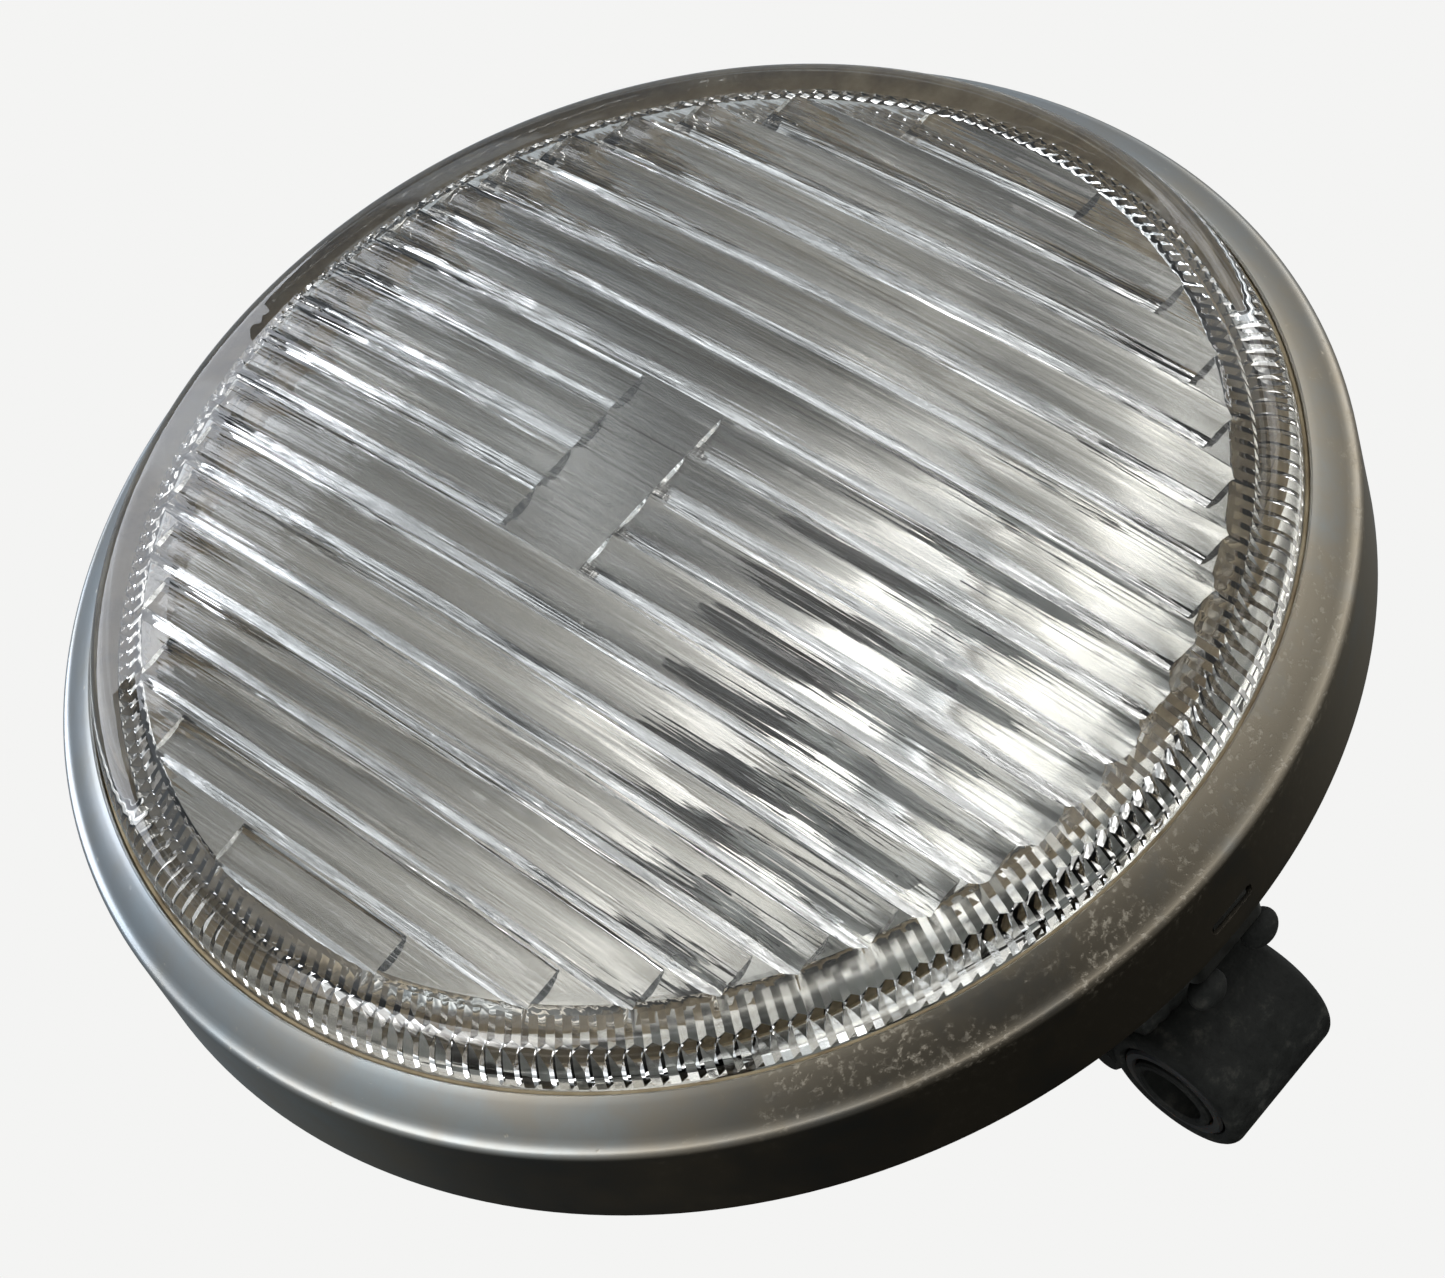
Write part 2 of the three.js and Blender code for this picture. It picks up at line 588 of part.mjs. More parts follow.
// Two ears on a foot plate; the clip's bar turns in their eyes.
function makeClipBracket() {
  const floor = HOLDER_REAR + GAP;
  const earTop = HOLDER_STEP_INSIDE + EAR_LAP;
  const foot = solid(block(
    [-BRACKET_WIDTH / 2, floor, HOLDER_STEP_INSIDE + 2 * GAP],
    [BRACKET_WIDTH / 2, floor + BRACKET_WALL, HOLDER_RADIUS - 1],
  ));
  const ears = [-1, 1].map((side) => solid(block(
    [side * EAR_SPREAD - EAR_WALL / 2, floor, BULB_CLIP_HINGE_RAISE - EYE_RADIUS - EYE_WALL],
    [side * EAR_SPREAD + EAR_WALL / 2, BULB_CLIP_BACK + EYE_RADIUS + EYE_WALL, earTop],
  )));
  const eye = solid(rod(
    [-BULB_CLIP_HALF, BULB_CLIP_BACK, BULB_CLIP_HINGE_RAISE],
    [BULB_CLIP_HALF, BULB_CLIP_BACK, BULB_CLIP_HINGE_RAISE],
    EYE_RADIUS,
    12,
  ));
  return shape(foot.add(ears[0]).add(ears[1]).subtract(eye));
}

// A round section swept along a smooth curve through the given points.
function swept(points, radius, sides, steps) {
  const path = new THREE.CatmullRomCurve3(points.map((point) => new THREE.Vector3(...point)));
  const section = new THREE.Shape(arc(0, 0, radius, 0, 360 - 360 / sides, sides - 1)
    .map(([x, y]) => new THREE.Vector2(x, y)));
  return new THREE.ExtrudeGeometry(section, { steps, extrudePath: path, bevelEnabled: false });
}

const LEAD_START = BULB_FLANGE_BACK + BULB_BOSS_LENGTH + GAP;
const CONNECTOR_BACK = HOLDER_REAR + CONNECTOR_LENGTH / 2 - GAP;
const CONNECTOR_DROP = HOLDER_RADIUS + CONNECTOR_RADIUS + 1.3;

// Short lead moulded to the bulb: it turns down between the clip's legs to its own connector.
function makeBulbLead() {
  return swept([
    [0, LEAD_START, 0],
    [0, LEAD_START + 3.5, -0.6],
    [0, LEAD_START + 6.4, -4.5],
    [0, LEAD_START + 6.6, -12],
    [0, LEAD_START + 3.5, -20],
    [0, CONNECTOR_BACK + 4, -CONNECTOR_DROP + 0.4],
    [0, CONNECTOR_BACK + GAP, -CONNECTOR_DROP],
  ], LEAD_RADIUS, 8, 22);
}

function makeConnector() {
  const front = CONNECTOR_BACK - CONNECTOR_LENGTH;
  return turned([
    [0, front],
    [CONNECTOR_RADIUS * 0.6, front],
    [CONNECTOR_RADIUS * 0.6, front + 2],
    [CONNECTOR_RADIUS, front + 2.6],
    [CONNECTOR_RADIUS, CONNECTOR_BACK],
    [0, CONNECTOR_BACK],
  ], 16).translate(0, 0, -CONNECTOR_DROP);
}

// Cup over the bulb's tip on two strip legs that stand on the reflector.
function makeShield() {
  const rear = GLASS_TIP + SHIELD_OVERLAP;
  const front = rear - SHIELD_LENGTH;
  const inner = SHIELD_RADIUS - SHIELD_WALL;
  const cup = solid(turned([
    [0, front],
    [SHIELD_RADIUS - SHIELD_EDGE, front],
    [SHIELD_RADIUS, front + SHIELD_EDGE],
    [SHIELD_RADIUS, rear],
    [inner, rear],
    [inner, front + SHIELD_EDGE + GAP],
    [inner - SHIELD_EDGE, front + SHIELD_WALL],
    [0, front + SHIELD_WALL],
  ], AROUND_SMALL));
  // the foot and its toe lie a little clear of the reflector's curve
  const toe = SHIELD_FOOT_RADIUS + SHIELD_TOE;
  const footBack = reflectorInside(SHIELD_FOOT_RADIUS) - 2 * GAP;
  const toeBack = reflectorInside(toe) - 2 * GAP;
  const leg = drawnAcross([
    [rear - SHIELD_LEG_LAP, SHIELD_RADIUS - SHIELD_WALL / 2],
    [rear - SHIELD_LEG_LAP, SHIELD_RADIUS + SHIELD_WALL / 2],
    [rear, SHIELD_RADIUS + SHIELD_WALL / 2],
    [footBack - SHIELD_LEG_WALL, SHIELD_FOOT_RADIUS],
    [toeBack - SHIELD_LEG_WALL, toe],
    [toeBack, toe],
    [footBack, SHIELD_FOOT_RADIUS - SHIELD_LEG_WALL / 2],
    [rear + SHIELD_LEG_WALL / 2, SHIELD_RADIUS - SHIELD_WALL / 2],
  ], SHIELD_LEG_WIDTH);
  const legs = [1, -1].map((side) => solid(leg.clone().rotateY((side * Math.PI) / 2)));
  return shape(cup.add(legs[0]).add(legs[1]));
}

// ---------------------------------------------------------------- bowl

const BOWL_STEPS = 6; // straight runs along the bowl's side

// Profile points of the bowl's skin, moved inwards by a wall, from the shoulder to the back wall's corner.
function bowlCurve(wall, steps) {
  const last = BOWL_END;
  const curve = Array.from({ length: steps + 1 }, (_, i) => {
    const back = SHOULDER_BACK + ((last - SHOULDER_BACK) * i) / steps;
    return [bowlOutside(back) - wall, back - wall * 0.35];
  });
  const corner = bowlOutside(last) - wall;
  return [...curve, [corner - BOWL_CORNER * 0.55, BOWL_BACK - wall - BOWL_CORNER * 0.25],
    [corner - BOWL_CORNER * 1.3, BOWL_BACK - wall]];
}

// The bowl filled in and grown by the gap, to cut what is fitted against its outside.
function bowlBulk() {
  return solid(turned([
    [0, BOWL_BACK - BOWL_CORNER],
    ...bowlCurve(-GAP, BOWL_STEPS).slice(0, -2).reverse(),
    [0, SHOULDER_BACK],
  ]));
}

function makeBowl() {
  let bowl = solid(turned([
    [0, BOWL_INSIDE_BACK],
    ...bowlCurve(BOWL_WALL, BOWL_STEPS).reverse(),
    [LIP_INSIDE, SHOULDER_BACK - BOWL_WALL],
    [LIP_INSIDE, LIP_FRONT],
    [LIP_OUTSIDE, LIP_FRONT],
    [LIP_OUTSIDE, SHOULDER_BACK],
    ...bowlCurve(0, BOWL_STEPS),
    [0, BOWL_BACK],
  ]));
  const notches = [
    // where the rim's hook drops into the lip
    block(
      [-HOOK_WIDTH / 2 - TROUGH_SIDE - GAP, LIP_FRONT - 1, LIP_INSIDE - 3],
      [HOOK_WIDTH / 2 + TROUGH_SIDE + GAP, SHOULDER_BACK + GAP, RIM_RADIUS],
    ),
    // where the latch passes out under the lip
    block(
      [-LATCH_WIDTH / 2 - 2 * GAP, LIP_FRONT - 1, -RIM_RADIUS],
      [LATCH_WIDTH / 2 + 2 * GAP, SHOULDER_BACK + GAP, -LIP_INSIDE + 3],
    ),
    // holes in the back wall
    rod([0, BOWL_INSIDE_BACK - 2, -GROMMET_DROP], [0, BOWL_BACK + 2, -GROMMET_DROP], GROMMET_GROOVE + GAP, 16),
    rod([EARTH_X, BOWL_INSIDE_BACK - 2, 0], [EARTH_X, BOWL_BACK + 2, 0], EARTH_SCREW_RADIUS + GAP, 12),
    rod([PLUG_X, BOWL_INSIDE_BACK - 2, 0], [PLUG_X, BOWL_BACK + 2, 0], PLUG_NECK + GAP, 12),
  ];
  for (const notch of notches) bowl = bowl.subtract(solid(notch));
  return shape(bowl);
}

// Rubber ring on the step inside the lip, above the latch's path.
function makeBowlSeal() {
  const outer = BOWL_SHOULDER - GAP;
  const rear = SHOULDER_BACK - BOWL_WALL - GAP;
  return turned([
    [outer - SEAL_SIZE, rear - SEAL_SIZE],
    [outer, rear - SEAL_SIZE],
    [outer, rear],
    [outer - SEAL_SIZE, rear],
  ]);
}

// ---------------------------------------------------------------- barrel, bushes, sleeve, weld beads

function makeBarrel() {
  const end = BARREL_LENGTH / 2;
  const inside = BUSH_RADIUS + GAP;
  return turnedAcross([
    [inside, -end],
    ...arc(BARREL_RADIUS - BARREL_ROUND, -end + BARREL_ROUND, BARREL_ROUND, -90, 0, 3),
    ...arc(BARREL_RADIUS - BARREL_ROUND, end - BARREL_ROUND, BARREL_ROUND, 0, 90, 3),
    [inside, end],
  ], AROUND_SMALL * 2);
}

function makeBush(side) {
  const near = side * GAP;
  const far = side * (BARREL_LENGTH / 2);
  return turnedAcross([[BUSH_INSIDE, near], [BUSH_RADIUS, near], [BUSH_RADIUS, far], [BUSH_INSIDE, far]]);
}

function makeSleeve() {
  const end = BARREL_LENGTH / 2 + SLEEVE_PROUD;
  return turnedAcross([
    [BOLT_HOLE_RADIUS, -end],
    [SLEEVE_RADIUS, -end],
    [SLEEVE_RADIUS, end],
    [BOLT_HOLE_RADIUS, end],
  ]);
}

// Weld bead along the crevice between the bowl and the barrel; side is -1 in front and 1 behind.
function makeBead(side) {
  const half = BARREL_LENGTH / 2 - BARREL_ROUND;
  const reach = side < 0 ? 0.98 : 0.62;
  const back = PIVOT_BACK + side * BARREL_RADIUS * reach;
  const clear = bowlOutside(back) + GAP;
  const up = -(clear + BEAD_RADIUS * 0.45);
  const bead = solid(rod([-half, back, up], [half, back, up], BEAD_RADIUS, 14));
  const barrel = solid(turnedAcross([
    [0, -BARREL_LENGTH],
    [BARREL_RADIUS + GAP, -BARREL_LENGTH],
    [BARREL_RADIUS + GAP, BARREL_LENGTH],
    [0, BARREL_LENGTH],
  ], AROUND_SMALL * 2).translate(0, PIVOT_BACK, -PIVOT_DROP));
  return shape(bead.subtract(barrel).subtract(bowlBulk()));
}

// ---------------------------------------------------------------- hinge hook and trough

function makeHook() {
  const half = HOOK_WIDTH / 2;
  const plateTop = Math.sqrt((RIM_INSIDE - GAP) ** 2 - half ** 2) - GAP;
  const plate = solid(block(
    [-half, FLANGE_FRONT - HOOK_TONGUE, plateTop - HOOK_PLATE],
    [half, HOOK_AXIS_BACK, plateTop],
  ));
  const roll = solid(rod(
    [-half, HOOK_AXIS_BACK, HOOK_AXIS_RAISE],
    [half, HOOK_AXIS_BACK, HOOK_AXIS_RAISE],
    HOOK_ROLL,
    16,
  ));
  return shape(plate.add(roll));
}

// Open trough that the hook's roll turns in, with a cheek at each end.
function makeTrough() {
  const half = HOOK_WIDTH / 2 + TROUGH_SIDE;
  const space = HOOK_ROLL + GAP;
  const wall = space + TROUGH_WALL;
  const bottom = HOOK_AXIS_RAISE - wall;
  const body = solid(block(
    [-half, HOOK_AXIS_BACK - wall + GAP, bottom],
    [half, HOOK_AXIS_BACK + wall, HOOK_AXIS_RAISE - TROUGH_OPEN],
  ));
  const round = solid(rod(
    [-half + TROUGH_SIDE - GAP, HOOK_AXIS_BACK, HOOK_AXIS_RAISE],
    [half - TROUGH_SIDE + GAP, HOOK_AXIS_BACK, HOOK_AXIS_RAISE],
    space,
    16,
  ));
  const foot = solid(block(
    [-half, HOOK_AXIS_BACK + wall - TROUGH_FOOT_LAP, bottom - TROUGH_FOOT_DROP],
    [half, HOOK_AXIS_BACK + wall + TROUGH_FOOT_LENGTH, bottom + 2 * GAP],
  ));
  return shape(body.subtract(round).add(foot).subtract(bowlBulk()));
}

// ---------------------------------------------------------------- latch and its staple

const LATCH_TOP = -(BOWL_SHOULDER + GAP + LATCH_TRAVEL); // upper face of the leaf
const LATCH_FRONT = SLOT_BACK - SLOT_HEIGHT / 2 + LATCH_SIDE_PLAY;
const LATCH_BACK = LATCH_FRONT + LATCH_LENGTH;

function makeLatch() {
  const noseFoot = -Math.sqrt(RIM_INSIDE ** 2 - (LATCH_NOSE_WIDTH / 2) ** 2) + 2 * GAP;
  const leaf = solid(block(
    [-LATCH_WIDTH / 2, LATCH_FRONT, LATCH_TOP - LATCH_PLATE],
    [LATCH_WIDTH / 2, LATCH_BACK - LATCH_LOBE, LATCH_TOP],
  ));
  const nose = solid(block(
    [-LATCH_NOSE_WIDTH / 2, LATCH_FRONT, noseFoot],
    [LATCH_NOSE_WIDTH / 2, SLOT_BACK + SLOT_HEIGHT / 2 - LATCH_SIDE_PLAY, LATCH_TOP - LATCH_PLATE / 2],
  ));
  let latch = leaf.add(nose);
  for (const side of [-1, 1]) {
    const x = side * LATCH_LOBE_SPREAD;
    const lobe = new THREE.SphereGeometry(LATCH_LOBE, 14, 10)
      .scale(1, LOBE_LENGTH / LATCH_LOBE, LOBE_HEIGHT / LATCH_LOBE)
      .translate(x, LATCH_BACK - LATCH_LOBE, LATCH_TOP - LOBE_DROP);
    latch = latch.add(solid(lobe));
  }
  return shape(latch);
}

// Staple under the bowl that guides the leaf and leaves room for its travel.
function makeStaple() {
  const half = LATCH_WIDTH / 2 + GAP;
  const back = LATCH_BACK - LATCH_LOBE - LOBE_LENGTH - GAP - STAPLE_DEPTH; // just ahead of the lobes
  const low = LATCH_TOP - LATCH_PLATE - GAP;
  const outer = solid(block(
    [-half - STAPLE_WALL, back, low - STAPLE_WALL],
    [half + STAPLE_WALL, back + STAPLE_DEPTH, -BOWL_WAIST],
  ));
  const inner = solid(block(
    [-half, back - 1, low],
    [half, back + STAPLE_DEPTH + 1, -BOWL_WAIST + 1],
  ));
  return shape(outer.subtract(inner).subtract(bowlBulk()));
}

// ---------------------------------------------------------------- fittings on the back wall

function makeGrommet() {
  const inside = BOWL_INSIDE_BACK - GAP;
  const outside = BOWL_BACK + GAP;
  return turned([
    [GROMMET_HOLE, inside - GROMMET_FLANGE],
    [GROMMET_RADIUS - GROMMET_TAPER, inside - GROMMET_FLANGE],
    [GROMMET_RADIUS - GROMMET_TAPER, inside],
    [GROMMET_GROOVE, inside],
    [GROMMET_GROOVE, outside],
    [GROMMET_RADIUS, outside],
    [GROMMET_RADIUS - GROMMET_TAPER, outside + GROMMET_FLANGE],
    [GROMMET_GROOVE, outside + GROMMET_FLANGE + GROMMET_TAPER],
    [GROMMET_GROOVE - GROMMET_TAPER, outside + GROMMET_SPOUT],
    [GROMMET_HOLE, outside + GROMMET_SPOUT],
  ], AROUND_SMALL).translate(0, 0, -GROMMET_DROP);
}

// Blade terminal: a foot under the screw and a tongue that stands forward inside the bowl.
function makeEarthTab() {
  const face = BOWL_INSIDE_BACK - GAP;
  const foot = solid(block(
    [EARTH_X - BLADE_WIDTH / 2, face - BLADE_WALL, -BLADE_BELOW],
    [EARTH_X + BLADE_WIDTH / 2, face, BLADE_ABOVE],
  ));
  const tongue = solid(block(
    [EARTH_X - BLADE_WIDTH / 2, face - BLADE_LENGTH, BLADE_ABOVE - BLADE_WALL],
    [EARTH_X + BLADE_WIDTH / 2, face, BLADE_ABOVE],
  ));
  const hole = solid(rod([EARTH_X, face - 3, 0], [EARTH_X, face + 3, 0], EARTH_SCREW_RADIUS + GAP, 12));
  return shape(foot.add(tongue).subtract(hole));
}

function makeEarthScrew() {
  const head = BOWL_BACK + GAP;
  const body = solid(turned([
    [0, BOWL_INSIDE_BACK - EARTH_SCREW_LENGTH],
    [EARTH_SCREW_RADIUS, BOWL_INSIDE_BACK - EARTH_SCREW_LENGTH],
    [EARTH_SCREW_RADIUS, head],
    [EARTH_HEAD_RADIUS, head],
    [EARTH_HEAD_RADIUS * 0.95, head + EARTH_HEAD_EDGE],
    [EARTH_HEAD_RADIUS * 0.6, head + EARTH_HEAD_HEIGHT],
    [0, head + EARTH_HEAD_HEIGHT],
  ], AROUND_SMALL));
  const slot = solid(block(
    [-2 * EARTH_HEAD_RADIUS, head + EARTH_HEAD_HEIGHT - EARTH_SLOT, -EARTH_SLOT / 2],
    [2 * EARTH_HEAD_RADIUS, head + 2 * EARTH_HEAD_HEIGHT, EARTH_SLOT / 2],
  ));
  return shape(body.subtract(slot)).translate(EARTH_X, 0, 0);
}

function makeEarthNut() {
  const front = BOWL_INSIDE_BACK - 2 * GAP - BLADE_WALL - EARTH_NUT_HEIGHT;
  const middle = front + EARTH_NUT_HEIGHT / 2;
  const hexagon = new THREE.CylinderGeometry(EARTH_NUT_RADIUS, EARTH_NUT_RADIUS, EARTH_NUT_HEIGHT, 6);
  const nut = solid(hexagon.translate(EARTH_X, middle, 0));
  const hole = solid(rod([EARTH_X, front - 2, 0], [EARTH_X, front + 4, 0], EARTH_SCREW_RADIUS + GAP, 12));
  return shape(nut.subtract(hole));
}

// Rubber plug in the breather hole.
function makePlug() {
  return turned([
    [0, BOWL_INSIDE_BACK - GAP - PLUG_BARB],
    [PLUG_RADIUS - GAP, BOWL_INSIDE_BACK - GAP - PLUG_BARB],
    [PLUG_RADIUS, BOWL_INSIDE_BACK - GAP],
    [PLUG_NECK, BOWL_INSIDE_BACK - GAP],
    [PLUG_NECK, BOWL_BACK + GAP],
    [PLUG_RADIUS + PLUG_LIP, BOWL_BACK + GAP],
    [PLUG_RADIUS, BOWL_BACK + GAP + 0.8 * PLUG_HEAD],
    [0, BOWL_BACK + GAP + PLUG_HEAD],
  ], AROUND_SMALL).translate(PLUG_X, 0, 0);
}

// ---------------------------------------------------------------- assembly

place(part, 'pivot_sleeve', makeSleeve(), 'steel');
place(part, 'mounting_barrel', makeBarrel(), 'barrelBlack');
place(part, 'barrel_bush_left', makeBush(-1), 'nylon');
place(part, 'barrel_bush_right', makeBush(1), 'nylon');

place(lamp, 'housing_bowl', makeBowl(), 'blackPaint');
place(lamp, 'housing_seal', makeBowlSeal(), 'rubber');
place(lamp, 'barrel_weld_front', makeBead(-1), 'barrelBlack');
place(lamp, 'barrel_weld_rear', makeBead(1), 'barrelBlack');
place(lamp, 'hinge_trough', makeTrough(), 'zinc');
place(lamp, 'latch_staple', makeStaple(), 'zinc');
place(lamp, 'cable_grommet', makeGrommet(), 'rubber');
place(lamp, 'earth_tab', makeEarthTab(), 'zinc');
place(lamp, 'earth_screw', makeEarthScrew(), 'zinc');
place(lamp, 'earth_nut', makeEarthNut(), 'zinc');
place(lamp, 'breather_plug', makePlug(), 'rubber');

place(lamp, 'rim_latch', makeLatch(), 'zinc');

place(lamp, 'rim', makeRim(), 'chrome');
place(lamp, 'lens', makeLens(), 'glass');
place(lamp, 'lens_gasket', makeGasket(), 'rubber');
place(lamp, 'reflector', makeReflector(), 'mirror');
place(lamp, 'rim_hook', makeHook(), 'zinc');
for (let i = 0; i < CLIP_COUNT; i += 1) {
  const clip = place(lamp, `reflector_clip_${i + 1}`, makeReflectorClip(), 'steel');
  clip.rotation.y = ((i + 0.5) * 2 * Math.PI) / CLIP_COUNT;
}
place(lamp, 'bulb_holder', makeHolder(), 'zinc');
place(lamp, 'clip_bracket', makeClipBracket(), 'zinc');
place(lamp, 'bulb_shield', makeShield(), 'zinc');
place(lamp, 'bulb_base', makeBulbBase(), 'steel');
place(lamp, 'bulb_glass', makeBulbGlass(), 'glass');
place(lamp, 'bulb_filament', makeFilament(), 'wire');
place(lamp, 'bulb_lead', makeBulbLead(), 'redLead');
place(lamp, 'lead_connector', makeConnector(), 'zinc');

place(lamp, 'bulb_clip', makeBulbClip(), 'wire');

export default part;
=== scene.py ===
# %% [markdown]
# # A round halogen fog lamp
#
# The lamp is a steel bowl with a chromed rim. The rim carries pressed glass and a silvered reflector with
# the bulb in its middle, and the whole lamp tilts on a barrel under the bowl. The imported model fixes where
# every piece is; this file makes each of them again with a fine surface and a real finish.

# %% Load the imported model
import math

import bmesh
import bpy
from mathutils import Matrix, Vector


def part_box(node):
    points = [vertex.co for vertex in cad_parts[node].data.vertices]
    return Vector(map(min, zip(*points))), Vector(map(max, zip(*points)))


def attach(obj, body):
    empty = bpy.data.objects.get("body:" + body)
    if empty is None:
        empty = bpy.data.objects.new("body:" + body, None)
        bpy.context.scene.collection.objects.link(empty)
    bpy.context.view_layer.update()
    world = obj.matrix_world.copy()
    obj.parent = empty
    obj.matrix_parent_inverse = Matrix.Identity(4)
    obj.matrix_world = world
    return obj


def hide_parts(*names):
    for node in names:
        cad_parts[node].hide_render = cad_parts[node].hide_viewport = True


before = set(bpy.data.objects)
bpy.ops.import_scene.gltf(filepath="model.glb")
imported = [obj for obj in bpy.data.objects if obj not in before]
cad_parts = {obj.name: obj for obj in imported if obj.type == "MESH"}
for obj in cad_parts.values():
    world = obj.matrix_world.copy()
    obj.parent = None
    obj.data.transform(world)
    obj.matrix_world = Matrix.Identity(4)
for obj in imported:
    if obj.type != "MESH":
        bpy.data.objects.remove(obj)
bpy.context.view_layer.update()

# %% [markdown]
# ## The lamp's own ruler
#
# A lamp is laid out along its optical axis, so pieces are made in millimetres in the lamp's own frame: x
# across, z up from the axis, and y is "back", how far a point lies behind the bright edge of the rim.
# Glass in front of that edge has a negative back. One matrix takes a finished piece to its place.

# %% Where the optical axis, the rim's edge and the pivot are
MM = 0.001
RIM_SKIRT = 13.9  # depth of the rim's side wall

rim_low, rim_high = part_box("rim")
sleeve_low, sleeve_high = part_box("pivot_sleeve")
edge_point = (rim_low + rim_high) / 2
edge_point.y = rim_high.y - RIM_SKIRT * MM
LAMP = Matrix.Translation(edge_point) @ Matrix.Diagonal((MM, MM, MM, 1))
pivot = LAMP.inverted() @ ((sleeve_low + sleeve_high) / 2)
RIM_RADIUS = (rim_high.x - rim_low.x) / 2 / MM
print(f"rim radius {RIM_RADIUS:.1f} mm, pivot {pivot.y:.1f} mm behind the edge and {-pivot.z:.1f} mm down")

# %% [markdown]
# ## Camera
#
# The lamp is seen from in front, from below and a little to one side, with the camera rolled so that the
# flutes run down to the right. A long lens keeps the circles from stretching.

# %% Camera
CAMERA_AZIMUTH = math.radians(-21.45)  # towards -X from straight in front
CAMERA_ELEVATION = math.radians(-33.52)
CAMERA_ROLL = math.radians(-59.5)
CAMERA_DISTANCE = 442.4  # mm
CAMERA_AIM = Vector((-4.1, 6.7, -7.0))  # mm from the middle of the rim's edge
LENS_LENGTH = 92.4  # on a sensor 36 mm wide

away = Vector((
    math.sin(CAMERA_AZIMUTH) * math.cos(CAMERA_ELEVATION),
    -math.cos(CAMERA_AZIMUTH) * math.cos(CAMERA_ELEVATION),
    math.sin(CAMERA_ELEVATION),
))
camera_data = bpy.data.cameras.new("camera")
camera_data.lens = LENS_LENGTH
camera_data.sensor_width = 36
camera = bpy.data.objects.new("camera", camera_data)
bpy.context.scene.collection.objects.link(camera)
camera.matrix_world = (
    Matrix.Translation(LAMP @ CAMERA_AIM + away * CAMERA_DISTANCE * MM)
    @ away.to_track_quat("Z", "Y").to_matrix().to_4x4()
    @ Matrix.Rotation(CAMERA_ROLL, 4, "Z")
)
bpy.context.scene.camera = camera
print("camera at", [round(c, 3) for c in camera.matrix_world.translation])

# %% [markdown]
# ## Colours and nodes
#
# Colours are picked as the hex values that a screen shows, and a shader wants them linear, so one function
# turns one into the other. A second function adds a shader node, sets it up and wires it, and every
# material below is written with it.

# %% Colour and node helpers
def linear(hex_colour):
    """sRGB hex to the linear RGBA that shaders use."""
    value = hex_colour.lstrip("#")
    parts = [int(value[i:i + 2], 16) / 255 for i in (0, 2, 4)]
    return (*[c / 12.92 if c <= 0.04045 else ((c + 0.055) / 1.055) ** 2.4 for c in parts], 1.0)


def add(tree, kind, inputs=None, stops=None, **settings):
    """A shader node with its settings, its values or links, and the stops of a colour ramp."""
    node = tree.nodes.new("ShaderNode" + kind)
    for key, value in settings.items():
        setattr(node, key, value)
    for key, value in (inputs or {}).items():
        if isinstance(value, bpy.types.NodeSocket):
            tree.links.new(value, node.inputs[key])
        else:
            node.inputs[key].default_value = value
    for number, (position, colour) in enumerate(stops or ()):
        elements = node.color_ramp.elements
        element = elements[number] if number < 2 else elements.new(position)
        element.position = position
        element.color = linear(colour)
    return node


def finish_named(name, **constants):
    """A material with one Principled shader and its constant values: the material, its tree, the shader."""
    material = bpy.data.materials.new(name)
    material.use_nodes = True
    tree = material.node_tree
    shader = next(n for n in tree.nodes if n.type == "BSDF_PRINCIPLED")
    for key, value in constants.items():
        shader.inputs[key.replace("_", " ")].default_value = value
    return material, tree, shader


def per_metre(size_mm):
    """The scale of a texture whose feature is that many millimetres across."""
    return 1000.0 / size_mm


# %% [markdown]
# ## Stage and light
#
# The studio is plain: a pale floor well under the lamp, and a pale surround. Chrome and glass only look
# like chrome and glass when they have something darker to mirror, so the surround that reflections see
# falls off from a bright front and ceiling to a dim back. Soft panels do the rest.

# %% Surround and floor
FLOOR_Z = -0.215
FLOOR_HALF = 3.0
BRIGHT_SIDE = Vector((0.25, -0.86, 0.43)).normalized()  # where the room is brightest
DIM_SPOT = Vector((-0.29, -0.55, -0.78)).normalized()  # somebody in dark clothes stands low in front
DIM_EDGE = (0.64, 0.92)  # how close to that direction the dimming starts and is full
DIM_LEFT = 0.10  # share of the light that is left there
WINDOWS = 18  # tall narrow windows in a ring round the lamp
WINDOW_GAIN = 1.7  # how much brighter than the walls between them

world = bpy.data.worlds.new("studio")
bpy.context.scene.world = world
bpy.context.scene.view_settings.view_transform = "Standard"
world.use_nodes = True
sky = world.node_tree
sky.nodes.clear()
towards = add(sky, "TexCoord").outputs["Generated"]
axes = add(sky, "SeparateXYZ", {0: towards}).outputs
facing = add(sky, "VectorMath", {0: towards, 1: BRIGHT_SIDE}, operation="DOT_PRODUCT").outputs["Value"]
share = add(sky, "MapRange", {"Value": facing, "From Min": -1.0, "From Max": 1.0}).outputs["Result"]
wall = add(sky, "ValToRGB", {"Fac": share}, stops=(
    (0.0, "#1C1C1B"), (1.0, "#D2D2D2"), (0.14, "#2C2C2B"),
    (0.22, "#666765"), (0.45, "#A4A6A8"), (0.7, "#C6C8CA"),
)).outputs["Color"]
rise = add(sky, "MapRange", {"Value": axes["Z"], "From Min": -0.8, "From Max": 0.9}).outputs["Result"]
tint = add(sky, "ValToRGB", {"Fac": rise}, stops=((0.0, "#E8E5DF"), (1.0, "#E2ECF4"), (0.5, "#F2F2F0")))
tinted = add(
    sky, "Mix", {0: 1.0, 6: wall, 7: tint.outputs["Color"]}, data_type="RGBA", blend_type="MULTIPLY",
)
wall = tinted.outputs[2]
bearing = add(sky, "Math", {0: axes["X"], 1: axes["Y"]}, operation="ARCTAN2").outputs[0]
turns = add(sky, "Math", {0: bearing, 1: WINDOWS}, operation="MULTIPLY").outputs[0]
pane = add(sky, "Math", {0: turns}, operation="COSINE").outputs[0]
pane = add(sky, "MapRange", {
    "Value": pane, "From Min": 0.35, "From Max": 0.85,
}, interpolation_type="SMOOTHSTEP")
